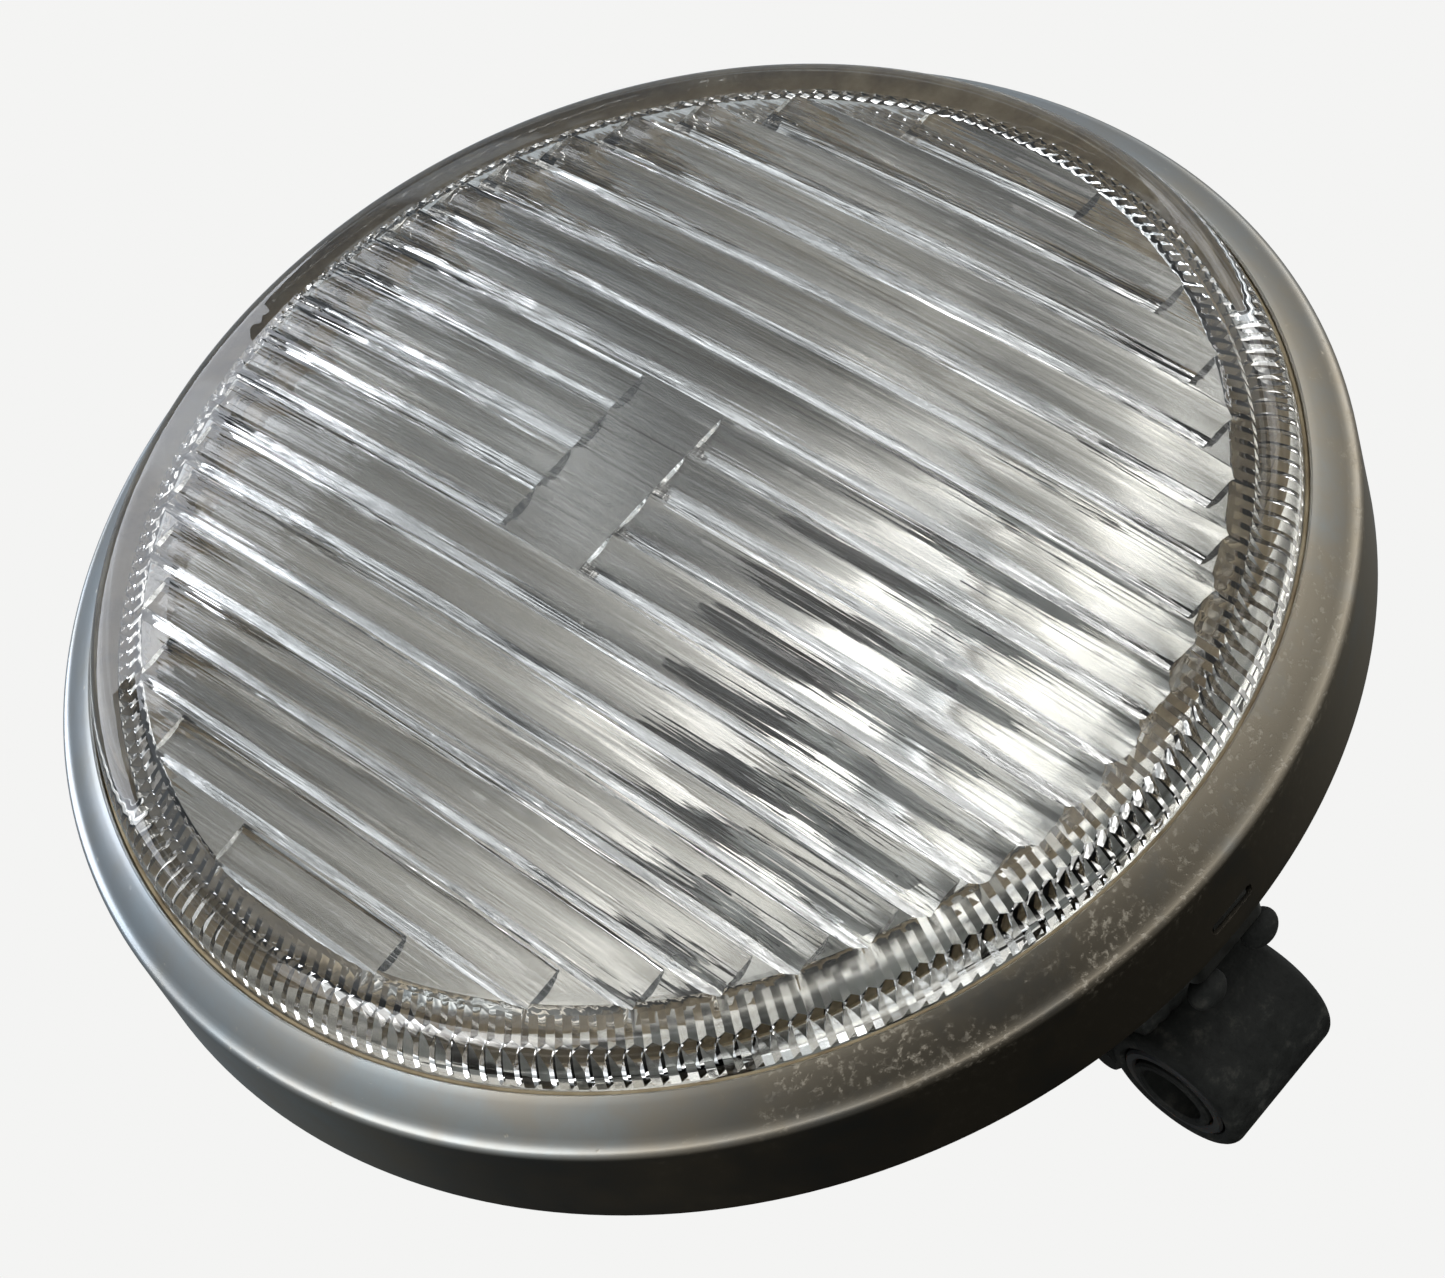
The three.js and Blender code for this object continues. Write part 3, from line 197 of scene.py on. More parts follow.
front = add(sky, "MapRange", {"Value": axes["Y"], "From Min": 0.1, "From Max": -0.4}).outputs["Result"]
gain = add(sky, "Math", {0: pane.outputs["Result"], 1: front}, operation="MULTIPLY").outputs[0]
gain = add(sky, "Math", {0: gain, 1: WINDOW_GAIN, 2: 1.0}, operation="MULTIPLY_ADD").outputs[0]
near_spot = add(sky, "VectorMath", {0: towards, 1: DIM_SPOT}, operation="DOT_PRODUCT").outputs["Value"]
dimming = add(sky, "MapRange", {
    "Value": near_spot, "From Min": DIM_EDGE[0], "From Max": DIM_EDGE[1], "To Min": 1.0, "To Max": DIM_LEFT,
}, interpolation_type="SMOOTHSTEP").outputs["Result"]
strength = add(sky, "Math", {0: gain, 1: dimming}, operation="MULTIPLY").outputs[0]
room_light = add(sky, "Background", {"Color": wall, "Strength": strength})
pale = add(sky, "Background", {"Color": linear("#F4F4F3"), "Strength": 1.0})
seen = add(sky, "LightPath").outputs["Is Camera Ray"]
either = add(sky, "MixShader", {0: seen, 1: room_light.outputs[0], 2: pale.outputs[0]})
add(sky, "OutputWorld", {"Surface": either.outputs[0]})

floor_bm = bmesh.new()
bmesh.ops.create_grid(floor_bm, x_segments=1, y_segments=1, size=FLOOR_HALF)
bmesh.ops.translate(floor_bm, verts=floor_bm.verts, vec=(0, 0, FLOOR_Z))
floor_mesh = bpy.data.meshes.new("floor")
floor_bm.to_mesh(floor_mesh)
floor_bm.free()
floor = bpy.data.objects.new("floor", floor_mesh)
bpy.context.scene.collection.objects.link(floor)
floor_paint, _, _ = finish_named("pale_floor_paint", Base_Color=linear("#E9E8E4"), Roughness=0.9)
floor_mesh.materials.append(floor_paint)
floor.visible_glossy = False
floor.visible_transmission = False
print("floor at", FLOOR_Z, "m")


# %% Soft panels
def soft_panel(name, place, size, power, colour):
    """A rectangular area light that faces the middle of the lamp."""
    data = bpy.data.lights.new(name, "AREA")
    data.shape = "RECTANGLE"
    data.size, data.size_y = size
    data.energy = power
    data.color = linear(colour)[:3]
    panel = bpy.data.objects.new(name, data)
    panel.location = place
    panel.rotation_euler = (Vector(place) - edge_point).to_track_quat("Z", "Y").to_euler()
    bpy.context.scene.collection.objects.link(panel)


soft_panel("ceiling_panel", (-0.15, -0.45, 1.1), (1.0, 0.6), 7, "#F3F7FF")
soft_panel("front_panel", (-0.75, -1.1, 0.45), (0.7, 0.8), 5, "#FFFFFF")
soft_panel("side_panel", (1.1, -0.65, 0.2), (0.5, 0.8), 2, "#FFFFFF")
print("three soft panels")

# %% [markdown]
# ## Turning, drawing and bending
#
# Most of this lamp is spun, pressed or turned, which is one outline carried round an axis. The rest is
# strip and plate, which is a flat outline drawn out to a width, and wire, which is a round section swept
# along a line. Each way gets one helper, and a last one softens edges by their angle, sets the piece on
# the body it moves with and lets it stand for the plain model's node.

# %% Outline helpers
def arc(middle, radius, start, end, steps):
    """Points of an arc round middle, from one angle to another in degrees."""
    angles = [math.radians(start + (end - start) * i / steps) for i in range(steps + 1)]
    return [(middle[0] + radius * math.cos(a), middle[1] + radius * math.sin(a)) for a in angles]


def clean(bm):
    """Merges doubles, drops collapsed faces and turns every face outwards."""
    bmesh.ops.remove_doubles(bm, verts=bm.verts, dist=1e-4)
    bmesh.ops.dissolve_degenerate(bm, edges=bm.edges, dist=1e-5)
    bmesh.ops.recalc_face_normals(bm, faces=bm.faces)
    return bm


def moved(bm, vec=(0, 0, 0), turn=0, axis="Y"):
    """Turns a shape about an axis through the lamp's middle, then shifts it."""
    turning = Matrix.Rotation(math.radians(turn), 4, axis)
    bmesh.ops.transform(bm, matrix=Matrix.Translation(vec) @ turning, verts=bm.verts)
    return bm


def turned(outline, around=180, middle=(0, 0, 0), across=False):
    """A closed outline of (radius, along) points turned round the back axis, or round x if across."""
    bm = bmesh.new()
    x, back, up = middle
    if across:
        line = [bm.verts.new((x + along, back, up + radius)) for radius, along in outline]
    else:
        line = [bm.verts.new((x, back + along, up + radius)) for radius, along in outline]
    edges = [bm.edges.new(pair) for pair in zip(line, line[1:] + line[:1])]
    bmesh.ops.spin(
        bm, geom=line + edges, cent=middle, axis=(1, 0, 0) if across else (0, 1, 0),
        angle=2 * math.pi, steps=around, use_merge=True, use_duplicate=False,
    )
    return clean(bm)


def drawn(outline, start, end, along="x"):
    """A flat outline drawn out from start to end. Its points are (back, up) along x, (x, up) along back."""
    bm = bmesh.new()
    if along == "x":
        corners = [bm.verts.new((start, a, b)) for a, b in outline]
        step = (end - start, 0, 0)
    else:
        corners = [bm.verts.new((a, start, b)) for a, b in outline]
        step = (0, end - start, 0)
    grown = bmesh.ops.extrude_face_region(bm, geom=[bm.faces.new(corners)])["geom"]
    bmesh.ops.translate(bm, verts=[v for v in grown if isinstance(v, bmesh.types.BMVert)], vec=step)
    return clean(bm)


def box(low, high):
    """A box between two corners."""
    bm = bmesh.new()
    low, high = Vector(low), Vector(high)
    placing = Matrix.Translation((low + high) / 2) @ Matrix.Diagonal((*(high - low), 1))
    bmesh.ops.create_cube(bm, size=1, matrix=placing)
    return bm


def wire(points, radius, sides=12, soft=True):
    """A round wire with closed ends along a line of points, smooth or with its corners kept."""
    curve = bpy.data.curves.new("wire", "CURVE")
    curve.dimensions = "3D"
    curve.bevel_depth = radius
    curve.bevel_resolution = max(sides // 4 - 1, 0)
    curve.use_fill_caps = True
    spline = curve.splines.new("NURBS" if soft else "POLY")
    spline.points.add(len(points) - 1)
    for point, place in zip(spline.points, points):
        point.co = (*place, 1)
    if soft:
        spline.order_u = 4
        spline.use_endpoint_u = True
        spline.resolution_u = 8
    holder = bpy.data.objects.new("wire", curve)
    bpy.context.scene.collection.objects.link(holder)
    bpy.context.view_layer.update()
    mesh = bpy.data.meshes.new_from_object(holder.evaluated_get(bpy.context.evaluated_depsgraph_get()))
    bm = bmesh.new()
    bm.from_mesh(mesh)
    bpy.data.objects.remove(holder)
    bpy.data.curves.remove(curve)
    bpy.data.meshes.remove(mesh)
    return clean(bm)


def joined(*parts):
    """One bmesh of several."""
    whole = parts[0]
    for other in parts[1:]:
        mesh = bpy.data.meshes.new("part")
        other.to_mesh(mesh)
        other.free()
        whole.from_mesh(mesh)
        bpy.data.meshes.remove(mesh)
    return whole


def rounded(bm, width, segments=2, sharper_than=40):
    """Bevels the edges that are sharper than an angle, as a press or a file leaves them."""
    limit = math.radians(sharper_than)
    keen = [e for e in bm.edges if len(e.link_faces) == 2 and e.calc_face_angle(0) > limit]
    bmesh.ops.bevel(
        bm, geom=keen, offset=width, segments=segments, affect="EDGES", profile=0.5, material=-1,
        clamp_overlap=True,
    )
    return clean(bm)


def combined(bm, tool, operation):
    """The exact union or difference of two closed shapes."""
    things = []
    for source in (bm, tool):
        mesh = bpy.data.meshes.new("combine")
        source.to_mesh(mesh)
        source.free()
        thing = bpy.data.objects.new("combine", mesh)
        bpy.context.scene.collection.objects.link(thing)
        things.append(thing)
    cutter = things[0].modifiers.new("combine", "BOOLEAN")
    cutter.operation = operation
    cutter.solver = "EXACT"
    cutter.object = things[1]
    bpy.context.view_layer.update()
    evaluated = things[0].evaluated_get(bpy.context.evaluated_depsgraph_get())
    result = bpy.data.meshes.new_from_object(evaluated)
    out = bmesh.new()
    out.from_mesh(result)
    for thing in things:
        old = thing.data
        bpy.data.objects.remove(thing)
        bpy.data.meshes.remove(old)
    bpy.data.meshes.remove(result)
    return out


def piece(bm, name, material, body, slot, *nodes, sharp=32):
    """Makes the bmesh an object with its finish, sets it on its body and lets it stand for its nodes."""
    limit = math.radians(sharp)
    for face in bm.faces:
        face.smooth = True
    for edge in bm.edges:
        edge.smooth = len(edge.link_faces) == 2 and edge.calc_face_angle(0) < limit
    bmesh.ops.transform(bm, matrix=LAMP, verts=bm.verts)
    mesh = bpy.data.meshes.new(name)
    bm.to_mesh(mesh)
    bm.free()
    mesh.materials.append(material)
    made = bpy.data.objects.new(name, mesh)
    bpy.context.scene.collection.objects.link(made)
    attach(made, body)
    if nodes:
        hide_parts(*nodes)
    print(f"{name}: {len(mesh.polygons)} faces")
    return made


# %% [markdown]
# ## Chrome rim
#
# The rim is drawn from thin sheet, polished and chromed. Its face is a bevel that slopes forward to a
# rolled lip round the glass, and its skirt runs straight back to a small hem. Road salt leaves a fine haze
# and brown rust pits. Low down the plate is painted a warm brown, a painted reflection of brown
# surroundings under the rim; the same low mask lays the haze and crowds the pits there. Chrome is a metal
# with a cool grey colour; a slow noise dulls it and a fine one, let in mostly near the foot, spots it with
# rust.

# %% Aged chrome plate: a mirror with haze, bloom, rust pits and a painted brown reflection low down
REFLECTION_AND_RUST_LINE = (0.045, -0.075)  # heights over the axis, in metres, between which the painted brown reflection and the crowded rust spots grow

chrome, tree, shader = finish_named("aged_chrome_plate", Metallic=1.0)
place = add(tree, "TexCoord").outputs["Object"]
height = add(tree, "SeparateXYZ", {0: place}).outputs["Z"]
low = add(tree, "MapRange", {
    "Value": height, "From Min": edge_point.z + REFLECTION_AND_RUST_LINE[0], "From Max": edge_point.z + REFLECTION_AND_RUST_LINE[1],
}).outputs["Result"]
bloom = add(tree, "TexNoise", {"Vector": place, "Scale": per_metre(13), "Detail": 6.0, "Roughness": 0.62})
grit = add(tree, "TexNoise", {"Vector": place, "Scale": per_metre(0.9), "Detail": 4.0, "Roughness": 0.7})
cells = add(tree, "TexVoronoi", {"Vector": place, "Scale": per_metre(2.2)})
# Bloom kept to the low part: it lays the painted brown reflection and the haze, and crowds the rust spots
reflection_and_rust_patch = add(tree, "Math", {0: bloom.outputs["Fac"], 1: low}, operation="MULTIPLY").outputs[0]
film = add(tree, "MapRange", {"Value": reflection_and_rust_patch, "From Min": 0.10, "From Max": 0.50}).outputs["Result"]
crust = add(tree, "MapRange", {"Value": reflection_and_rust_patch, "From Min": 0.42, "From Max": 0.56}).outputs["Result"]
loose = add(tree, "MapRange", {"Value": grit.outputs["Fac"], "From Min": 0.52, "From Max": 0.64})
pit = add(tree, "MapRange", {"Value": cells.outputs["Distance"], "From Min": 0.17, "From Max": 0.06})
sparse = add(tree, "Math", {0: pit.outputs["Result"], 1: loose.outputs["Result"]}, operation="MULTIPLY")
dense = add(tree, "Math", {0: crust, 1: loose.outputs["Result"]}, operation="MULTIPLY")
spots = add(tree, "Math", {0: sparse.outputs[0], 1: dense.outputs[0]}, operation="MAXIMUM").outputs[0]
depth = add(tree, "SeparateXYZ", {0: place}).outputs["Y"]
on_face = add(tree, "MapRange", {
    "Value": depth, "From Min": edge_point.y, "From Max": edge_point.y + 3 * MM,
    "To Min": 1.0, "To Max": 0.12,
}).outputs["Result"]
spots = add(tree, "Math", {0: spots, 1: on_face}, operation="MULTIPLY").outputs[0]
plate = add(tree, "ValToRGB", {"Fac": bloom.outputs["Fac"]}, stops=(
    (0.3, "#9FA8AD"), (0.75, "#96958F"), (0.55, "#9B9EA0"),
))
# The warm brown #A9A090 mixed in low down is a painted reflection of brown surroundings under the rim
painted_reflection_tint = add(tree, "Mix", {0: film, 6: plate.outputs["Color"], 7: linear("#A9A090")}, data_type="RGBA")
plate_and_painted_reflection = painted_reflection_tint.outputs[2]
brown = add(tree, "ValToRGB", {"Fac": grit.outputs["Fac"]}, stops=((0.5, "#8C7F6B"), (0.62, "#D6CFC1")))
skin = add(tree, "Mix", {0: spots, 6: plate_and_painted_reflection, 7: brown.outputs["Color"]}, data_type="RGBA")
tree.links.new(skin.outputs[2], shader.inputs["Base Color"])
haze = add(tree, "Math", {0: film, 1: 0.14, 2: 0.30}, operation="MULTIPLY_ADD").outputs[0]
dull = add(tree, "Math", {0: spots, 1: 0.35, 2: haze}, operation="MULTIPLY_ADD").outputs[0]
tree.links.new(dull, shader.inputs["Roughness"])
dent = add(tree, "Bump", {"Height": spots, "Strength": 0.25, "Distance": 0.0001}, invert=True)
tree.links.new(dent.outputs[0], shader.inputs["Normal"])
print("aged chrome")

# %% Rim
RIM_WALL = 0.9
RIM_EDGE = 1.0  # rounding between the bevel and the skirt
RIM_RISE = 4.0  # how far the bevel comes forward
RIM_LIP = 74.4  # radius of the opening
LIP_ROLL = 0.45
HEM = 0.5
RIM_INSIDE = RIM_RADIUS - RIM_WALL
SLOT_BACK = 9.5
SLOT_LENGTH = 7.0
SLOT_HEIGHT = 2.0
SLOT_CORNER = 0.7
BEVEL_CROWN = 0.25  # the bevel is not flat but swells a little

bevel_run = RIM_RADIUS - RIM_EDGE - RIM_LIP - LIP_ROLL
bevel = [
    (
        RIM_LIP + LIP_ROLL + bevel_run * i / 10,
        -RIM_RISE + RIM_RISE * i / 10 - BEVEL_CROWN * math.sin(math.pi * i / 10),
    )
    for i in range(1, 10)
]
rim_outline = [
    (RIM_LIP, -RIM_RISE + 1.2),
    *arc((RIM_LIP + LIP_ROLL, -RIM_RISE + LIP_ROLL), LIP_ROLL, 180, 262, 6),
    *bevel,
    *arc((RIM_RADIUS - RIM_EDGE, RIM_EDGE), RIM_EDGE, -78, 0, 8),
    (RIM_RADIUS, 3.5),
    (RIM_RADIUS, 7.0),
    (RIM_RADIUS, 12.4),
    *arc((RIM_RADIUS - HEM, RIM_SKIRT - HEM), HEM, 0, 90, 4),
    (RIM_INSIDE, RIM_SKIRT),
    (RIM_INSIDE, 12.4),
    (RIM_INSIDE, 7.0),
    (RIM_INSIDE, 2.2),
    (RIM_LIP + 0.9, -RIM_RISE + 2.2),
]
slot_tool = box(
    (-SLOT_LENGTH / 2, SLOT_BACK - SLOT_HEIGHT / 2, -RIM_RADIUS - 2),
    (SLOT_LENGTH / 2, SLOT_BACK + SLOT_HEIGHT / 2, -RIM_INSIDE + 2),
)
upright = [e for e in slot_tool.edges if abs(e.verts[0].co.z - e.verts[1].co.z) > 1]
bmesh.ops.bevel(
    slot_tool, geom=upright, offset=SLOT_CORNER, segments=4, affect="EDGES", profile=0.5, material=-1,
)
rim_bm = combined(turned(rim_outline, around=240), slot_tool, "DIFFERENCE")
piece(rim_bm, "chrome_rim", chrome, "lens_unit", "chrome", "rim")

# %% [markdown]
# ## Pressed glass
#
# The glass is pressed in a mould: smooth outside, and inside it carries upright half-round flutes that
# spread the beam sideways. The flutes stop at a plain panel near the middle. Where the flat of the glass
# turns into its side wall there is a steep band with two staggered rows of small radial teeth, and the
# flutes run out into that slope as rounded scallops. All of it is real shape here, because refraction
# through a painted pattern never looks right.

# %% Pressed clear glass: faintly warm, with a soft ripple and the fine upright tool marks of the mould
TOOL_MARKS = ((1.3, 0.30), (0.5, 0.10))  # width across and depth, both in mm
FIELD_EDGE = (62.0, 66.5)  # they fade out between these distances from the axis

glass, tree, shader = finish_named(
    "pressed_clear_glass", Transmission_Weight=1.0, IOR=1.52, Base_Color=linear("#FCFBF8"),
)
place = add(tree, "TexCoord").outputs["Object"]
flow = add(tree, "TexNoise", {"Vector": place, "Scale": per_metre(9), "Detail": 2.0})
ripple = add(tree, "Bump", {"Height": flow.outputs["Fac"], "Strength": 0.3, "Distance": 0.0003})
normal = ripple.outputs[0]
from_axis = add(tree, "VectorMath", {0: place, 1: edge_point}, operation="SUBTRACT").outputs["Vector"]
upright = add(tree, "VectorMath", {0: from_axis, 1: (1.0, 0.0, 1.0)}, operation="MULTIPLY").outputs["Vector"]
reach = add(tree, "VectorMath", {0: upright}, operation="LENGTH").outputs["Value"]
field = add(tree, "MapRange", {
    "Value": reach, "From Min": FIELD_EDGE[0] * MM, "From Max": FIELD_EDGE[1] * MM,
    "To Min": 1.0, "To Max": 0.0,
}).outputs["Result"]
for width, depth in TOOL_MARKS:
    across = (per_metre(width), per_metre(12 * width), per_metre(60 * width))
    along = add(tree, "VectorMath", {0: place, 1: across}, operation="MULTIPLY")
    marks = add(tree, "TexNoise", {"Vector": along.outputs["Vector"], "Scale": 1.0, "Detail": 1.0})
    cut = add(tree, "Math", {0: marks.outputs["Fac"], 1: field}, operation="MULTIPLY")
    lines = add(tree, "Bump", {
        "Height": cut.outputs[0], "Normal": normal, "Strength": 1.0, "Distance": depth * MM,
    })
    normal = lines.outputs[0]
tree.links.new(normal, shader.inputs["Normal"])
dust = add(tree, "MapRange", {
    "Value": flow.outputs["Fac"], "From Min": 0.45, "From Max": 0.75, "To Min": 0.01, "To Max": 0.045,
})
tree.links.new(dust.outputs["Result"], shader.inputs["Roughness"])
print("pressed glass")

# %% Body of the glass
GLASS_RADIUS = 73.7
GLASS_FRONT = -13.6  # crown of the dome
GLASS_CROWN = 3.9  # rise of the dome
GLASS_SHOULDER = 4.6
GLASS_THICK = 3.0
SIDE_INSIDE = 70.1
FLANGE_RADIUS = 76.2
FLANGE_REAR = 4.0
FLUTE_END = 65.8  # radius where the slope begins
SLOPE = math.tan(math.radians(56))
TEETH = 217
TOOTH_HEIGHTS = (0.5, 1.2)  # the inner ridges are long and low, the outer ones short and steep
TOOTH_ROWS = ((66.2, 68.2), (68.5, 69.4))  # inner and outer radius of each row

edge_radius = GLASS_RADIUS - GLASS_SHOULDER
DOME_RADIUS = (edge_radius ** 2 + GLASS_CROWN ** 2) / (2 * GLASS_CROWN)


def dome_drop(radius):
    """How far the dome has fallen back at a distance from the axis."""
    return DOME_RADIUS - math.sqrt(DOME_RADIUS ** 2 - radius ** 2)


inner_crown = GLASS_FRONT + GLASS_THICK
slope_foot = inner_crown + dome_drop(FLUTE_END)


def slope_back(radius):
    """The sloping band that carries the teeth."""
    return slope_foot + (radius - FLUTE_END) * SLOPE


band = [FLUTE_END, *TOOTH_ROWS[0], *TOOTH_ROWS[1], SIDE_INSIDE - 0.2]
glass_outline = [
    *[(edge_radius * i / 16, GLASS_FRONT + dome_drop(edge_radius * i / 16)) for i in range(16)],
    *arc((edge_radius, GLASS_FRONT + GLASS_CROWN + GLASS_SHOULDER), GLASS_SHOULDER, -84, 0, 12),
    (GLASS_RADIUS, -2.0),
    *arc((FLANGE_RADIUS - 0.6, 0.0), 0.6, -90, 0, 3),
    (FLANGE_RADIUS, FLANGE_REAR),
    (SIDE_INSIDE, FLANGE_REAR),
    (SIDE_INSIDE, slope_back(SIDE_INSIDE) + 0.6),
    *[(radius, slope_back(radius)) for radius in reversed(band)],
    *[(FLUTE_END * i / 12, inner_crown + dome_drop(FLUTE_END * i / 12)) for i in range(11, -1, -1)],
]
glass_bm = turned(glass_outline, around=2 * TEETH)


# %% Teeth: every other column of the band is lifted, and the second row starts half a pitch later
def tooth_column(vert):
    """Which of the two kinds of column round the band a vertex belongs to."""
    return round(math.atan2(vert.co.x, vert.co.z) / (math.pi / TEETH)) % 2


for row, (inner, outer) in enumerate(TOOTH_ROWS):
    lifted = [
        v for v in glass_bm.verts
        if inner - 0.05 < math.hypot(v.co.x, v.co.z) < outer + 0.05
        and abs(v.co.y - slope_back(math.hypot(v.co.x, v.co.z))) < 0.05
        and tooth_column(v) == row
    ]
    bmesh.ops.translate(glass_bm, verts=lifted, vec=(0, TOOTH_HEIGHTS[row], 0))
    print("tooth row", row + 1, "has", len(lifted) // 2, "teeth")

# %% Flutes, split where the plain panel lies
FLUTE_PITCH = 6.6
FLUTE_HEIGHT = 1.6
FLUTE_SIDE = 3.26  # half the width of one flute
FLUTE_REACH = 67.4
FLUTE_SUNK = 1.0  # how deep a flute starts inside the glass
FLUTE_STEP = 5.0  # length of one straight run of a flute
PANEL_HALF = 13.2
PANEL_LOW, PANEL_HIGH = 1.6, 15.0
flute_radius = (FLUTE_SIDE ** 2 + FLUTE_HEIGHT ** 2) / (2 * FLUTE_HEIGHT)
crest_angle = math.degrees(math.asin(FLUTE_SIDE / flute_radius))


def flute(x, low, high):
    """A half-round bar bent along the dome between two heights."""
    base = inner_crown + dome_drop(abs(x))
    crest = arc((x, base + FLUTE_HEIGHT - flute_radius), flute_radius, 90 - crest_angle, 90 + crest_angle, 12)
    section = [(x - FLUTE_SIDE, base - FLUTE_SUNK), (x + FLUTE_SIDE, base - FLUTE_SUNK), *crest]
    bm = bmesh.new()
    hub = (x, GLASS_FRONT + DOME_RADIUS, 0)  # the middle of the dome's sphere, far behind the glass
    face = bm.faces.new([bm.verts.new((a, b, 0)) for a, b in section])
    start = -math.asin(low / DOME_RADIUS)
    sweep = -math.asin(high / DOME_RADIUS) - start
    steps = max(int((high - low) / FLUTE_STEP), 2)
    bmesh.ops.rotate(bm, verts=bm.verts, cent=hub, matrix=Matrix.Rotation(start, 3, "X"))
    for number in range(steps):
        grown = bmesh.ops.extrude_face_region(bm, geom=[face])["geom"]
        new_verts = [g for g in grown if isinstance(g, bmesh.types.BMVert)]
        if number:  # only the first face stays, as the bar's end
            bmesh.ops.delete(bm, geom=[face], context="FACES_ONLY")
        face = next(g for g in grown if isinstance(g, bmesh.types.BMFace))
        bmesh.ops.rotate(bm, verts=new_verts, cent=hub, matrix=Matrix.Rotation(sweep / steps, 3, "X"))
    return clean(bm)


flutes = []
half_count = int(FLUTE_REACH // FLUTE_PITCH)
for number in range(-half_count, half_count):
    x = (number + 0.5) * FLUTE_PITCH
    reach = math.sqrt(max(FLUTE_REACH ** 2 - (abs(x) + FLUTE_SIDE) ** 2, 0))
    if reach < FLUTE_PITCH:
        continue
    if abs(x) < PANEL_HALF:
        flutes.append(flute(x, -reach, PANEL_LOW))
        flutes.append(flute(x, PANEL_HIGH, reach))
    else:
        flutes.append(flute(x, -reach, reach))
print(len(flutes), "flute bars")

# %% The glass in one piece, with the small nib that the mould's gate leaves at its foot
NIB = 0.8
nib = bmesh.new()
nib_place = Matrix.Translation((-1.5, -4.6, -GLASS_RADIUS + 0.25))
bmesh.ops.create_uvsphere(nib, u_segments=16, v_segments=10, radius=NIB, matrix=nib_place)
glass_bm = combined(glass_bm, joined(*flutes, nib), "UNION")
piece(glass_bm, "fluted_glass", glass, "lens_unit", "lens_glass", "lens", sharp=24)

# %% [markdown]
# ## Gasket
#
# A moulded ring with a U-shaped section hugs the glass flange, so that the glass never touches the rim. A
# thin line of it shows between the glass and the lip, and the rest is seen through the clear side wall as
# a tan border. Heat and age have turned it from grey to tan.

# %% Aged gasket: moulded rubber, tan, dry and slightly blotched
gasket, tree, shader = finish_named("aged_tan_rubber", Roughness=0.8)
place = add(tree, "TexCoord").outputs["Object"]
blotch = add(tree, "TexNoise", {"Vector": place, "Scale": per_metre(5), "Detail": 5.0, "Roughness": 0.65})
tan = add(tree, "ValToRGB", {"Fac": blotch.outputs["Fac"]}, stops=(
    (0.3, "#7C6B52"), (0.75, "#B5A68A"), (0.5, "#9A8A6D"),
))
tree.links.new(tan.outputs["Color"], shader.inputs["Base Color"])
crumb = add(tree, "TexNoise", {"Vector": place, "Scale": per_metre(0.5), "Detail": 2.0})
rough = add(tree, "Bump", {"Height": crumb.outputs["Fac"], "Strength": 0.4, "Distance": 0.0001})
tree.links.new(rough.outputs[0], shader.inputs["Normal"])

# %% Gasket ring
GASKET_REAR = 6.1
gasket_outline = [
    (73.80, -3.3),
    *arc((74.07, -3.3), 0.27, 180, 360, 6),
    (74.35, -2.7),
    (76.8, -0.5),
    (77.1, 0.0),
    (77.1, GASKET_REAR - 0.3),
    (76.8, GASKET_REAR),
    (68.2, GASKET_REAR),
    (67.9, GASKET_REAR - 0.3),
    (67.9, 4.6),
    (68.2, 4.3),
    (76.35, 4.15),
    (76.35, -0.1),
    (75.9, -0.7),
    (73.80, -2.2),
]
piece(turned(gasket_outline, around=180), "glass_gasket", gasket, "lens_unit", "gasket", "lens_gasket")

# %% [markdown]
# ## Reflector
#
# A deep paraboloid spun from sheet and silvered inside by vapour. It is the brightest thing in the lamp,
# but after years it is not a perfect mirror: a thin yellowish haze lies on it and blurs what it shows.

# %% Silvered reflector: vapour-coated aluminium under lacquer, a little yellowed
silver, tree, shader = finish_named("vapour_silvered_lacquer", Metallic=1.0)
place = add(tree, "TexCoord").outputs["Object"]
veil = add(tree, "TexNoise", {"Vector": place, "Scale": per_metre(18), "Detail": 5.0, "Roughness": 0.6})
tone = add(tree, "ValToRGB", {"Fac": veil.outputs["Fac"]}, stops=(
    (0.35, "#F2F2F2"), (0.75, "#DEDDD8"), (0.55, "#EAEAE8"),
))
tree.links.new(tone.outputs["Color"], shader.inputs["Base Color"])
blur = add(tree, "MapRange", {
    "Value": veil.outputs["Fac"], "From Min": 0.35, "From Max": 0.7, "To Min": 0.13, "To Max": 0.2,
})
tree.links.new(blur.outputs["Result"], shader.inputs["Roughness"])

# %% Reflector bowl: the same curve inside and, moved out by the wall, outside
FOCUS = 21.0
NECK = 18.0
MOUTH = 69.5
REFLECTOR_WALL = 0.8
REFLECTOR_FLANGE = 6.4  # back of its flange's front face
apex = REFLECTOR_FLANGE + MOUTH ** 2 / (4 * FOCUS)


def mirror_back(radius):
    """The paraboloid."""
    return apex - radius ** 2 / (4 * FOCUS)


inside = [NECK + (MOUTH - NECK) * i / 48 for i in range(49)]
outside = []
for radius in reversed(inside[:-1]):
    tilt = math.atan2(radius, 2 * FOCUS)
    out = radius + REFLECTOR_WALL * math.sin(tilt)
    back = mirror_back(radius) + REFLECTOR_WALL * math.cos(tilt)
    outside.append((out, back))
reflector_outline = [
    *[(radius, mirror_back(radius)) for radius in inside],
    (FLANGE_RADIUS + 0.1, REFLECTOR_FLANGE),
    (FLANGE_RADIUS + 0.1, REFLECTOR_FLANGE + REFLECTOR_WALL),
    (MOUTH + REFLECTOR_WALL, REFLECTOR_FLANGE + REFLECTOR_WALL),
    *outside,
]
piece(turned(reflector_outline), "silvered_reflector", silver, "lens_unit", "reflector_silver", "reflector")

# %% [markdown]
# ## Plated and spring steel
#
# The small pressings are mild steel with a thin zinc plate that has gone dull grey. Springs are bare
# tempered steel, darker and a touch brown. Both are metals whose roughness drifts from place to place.

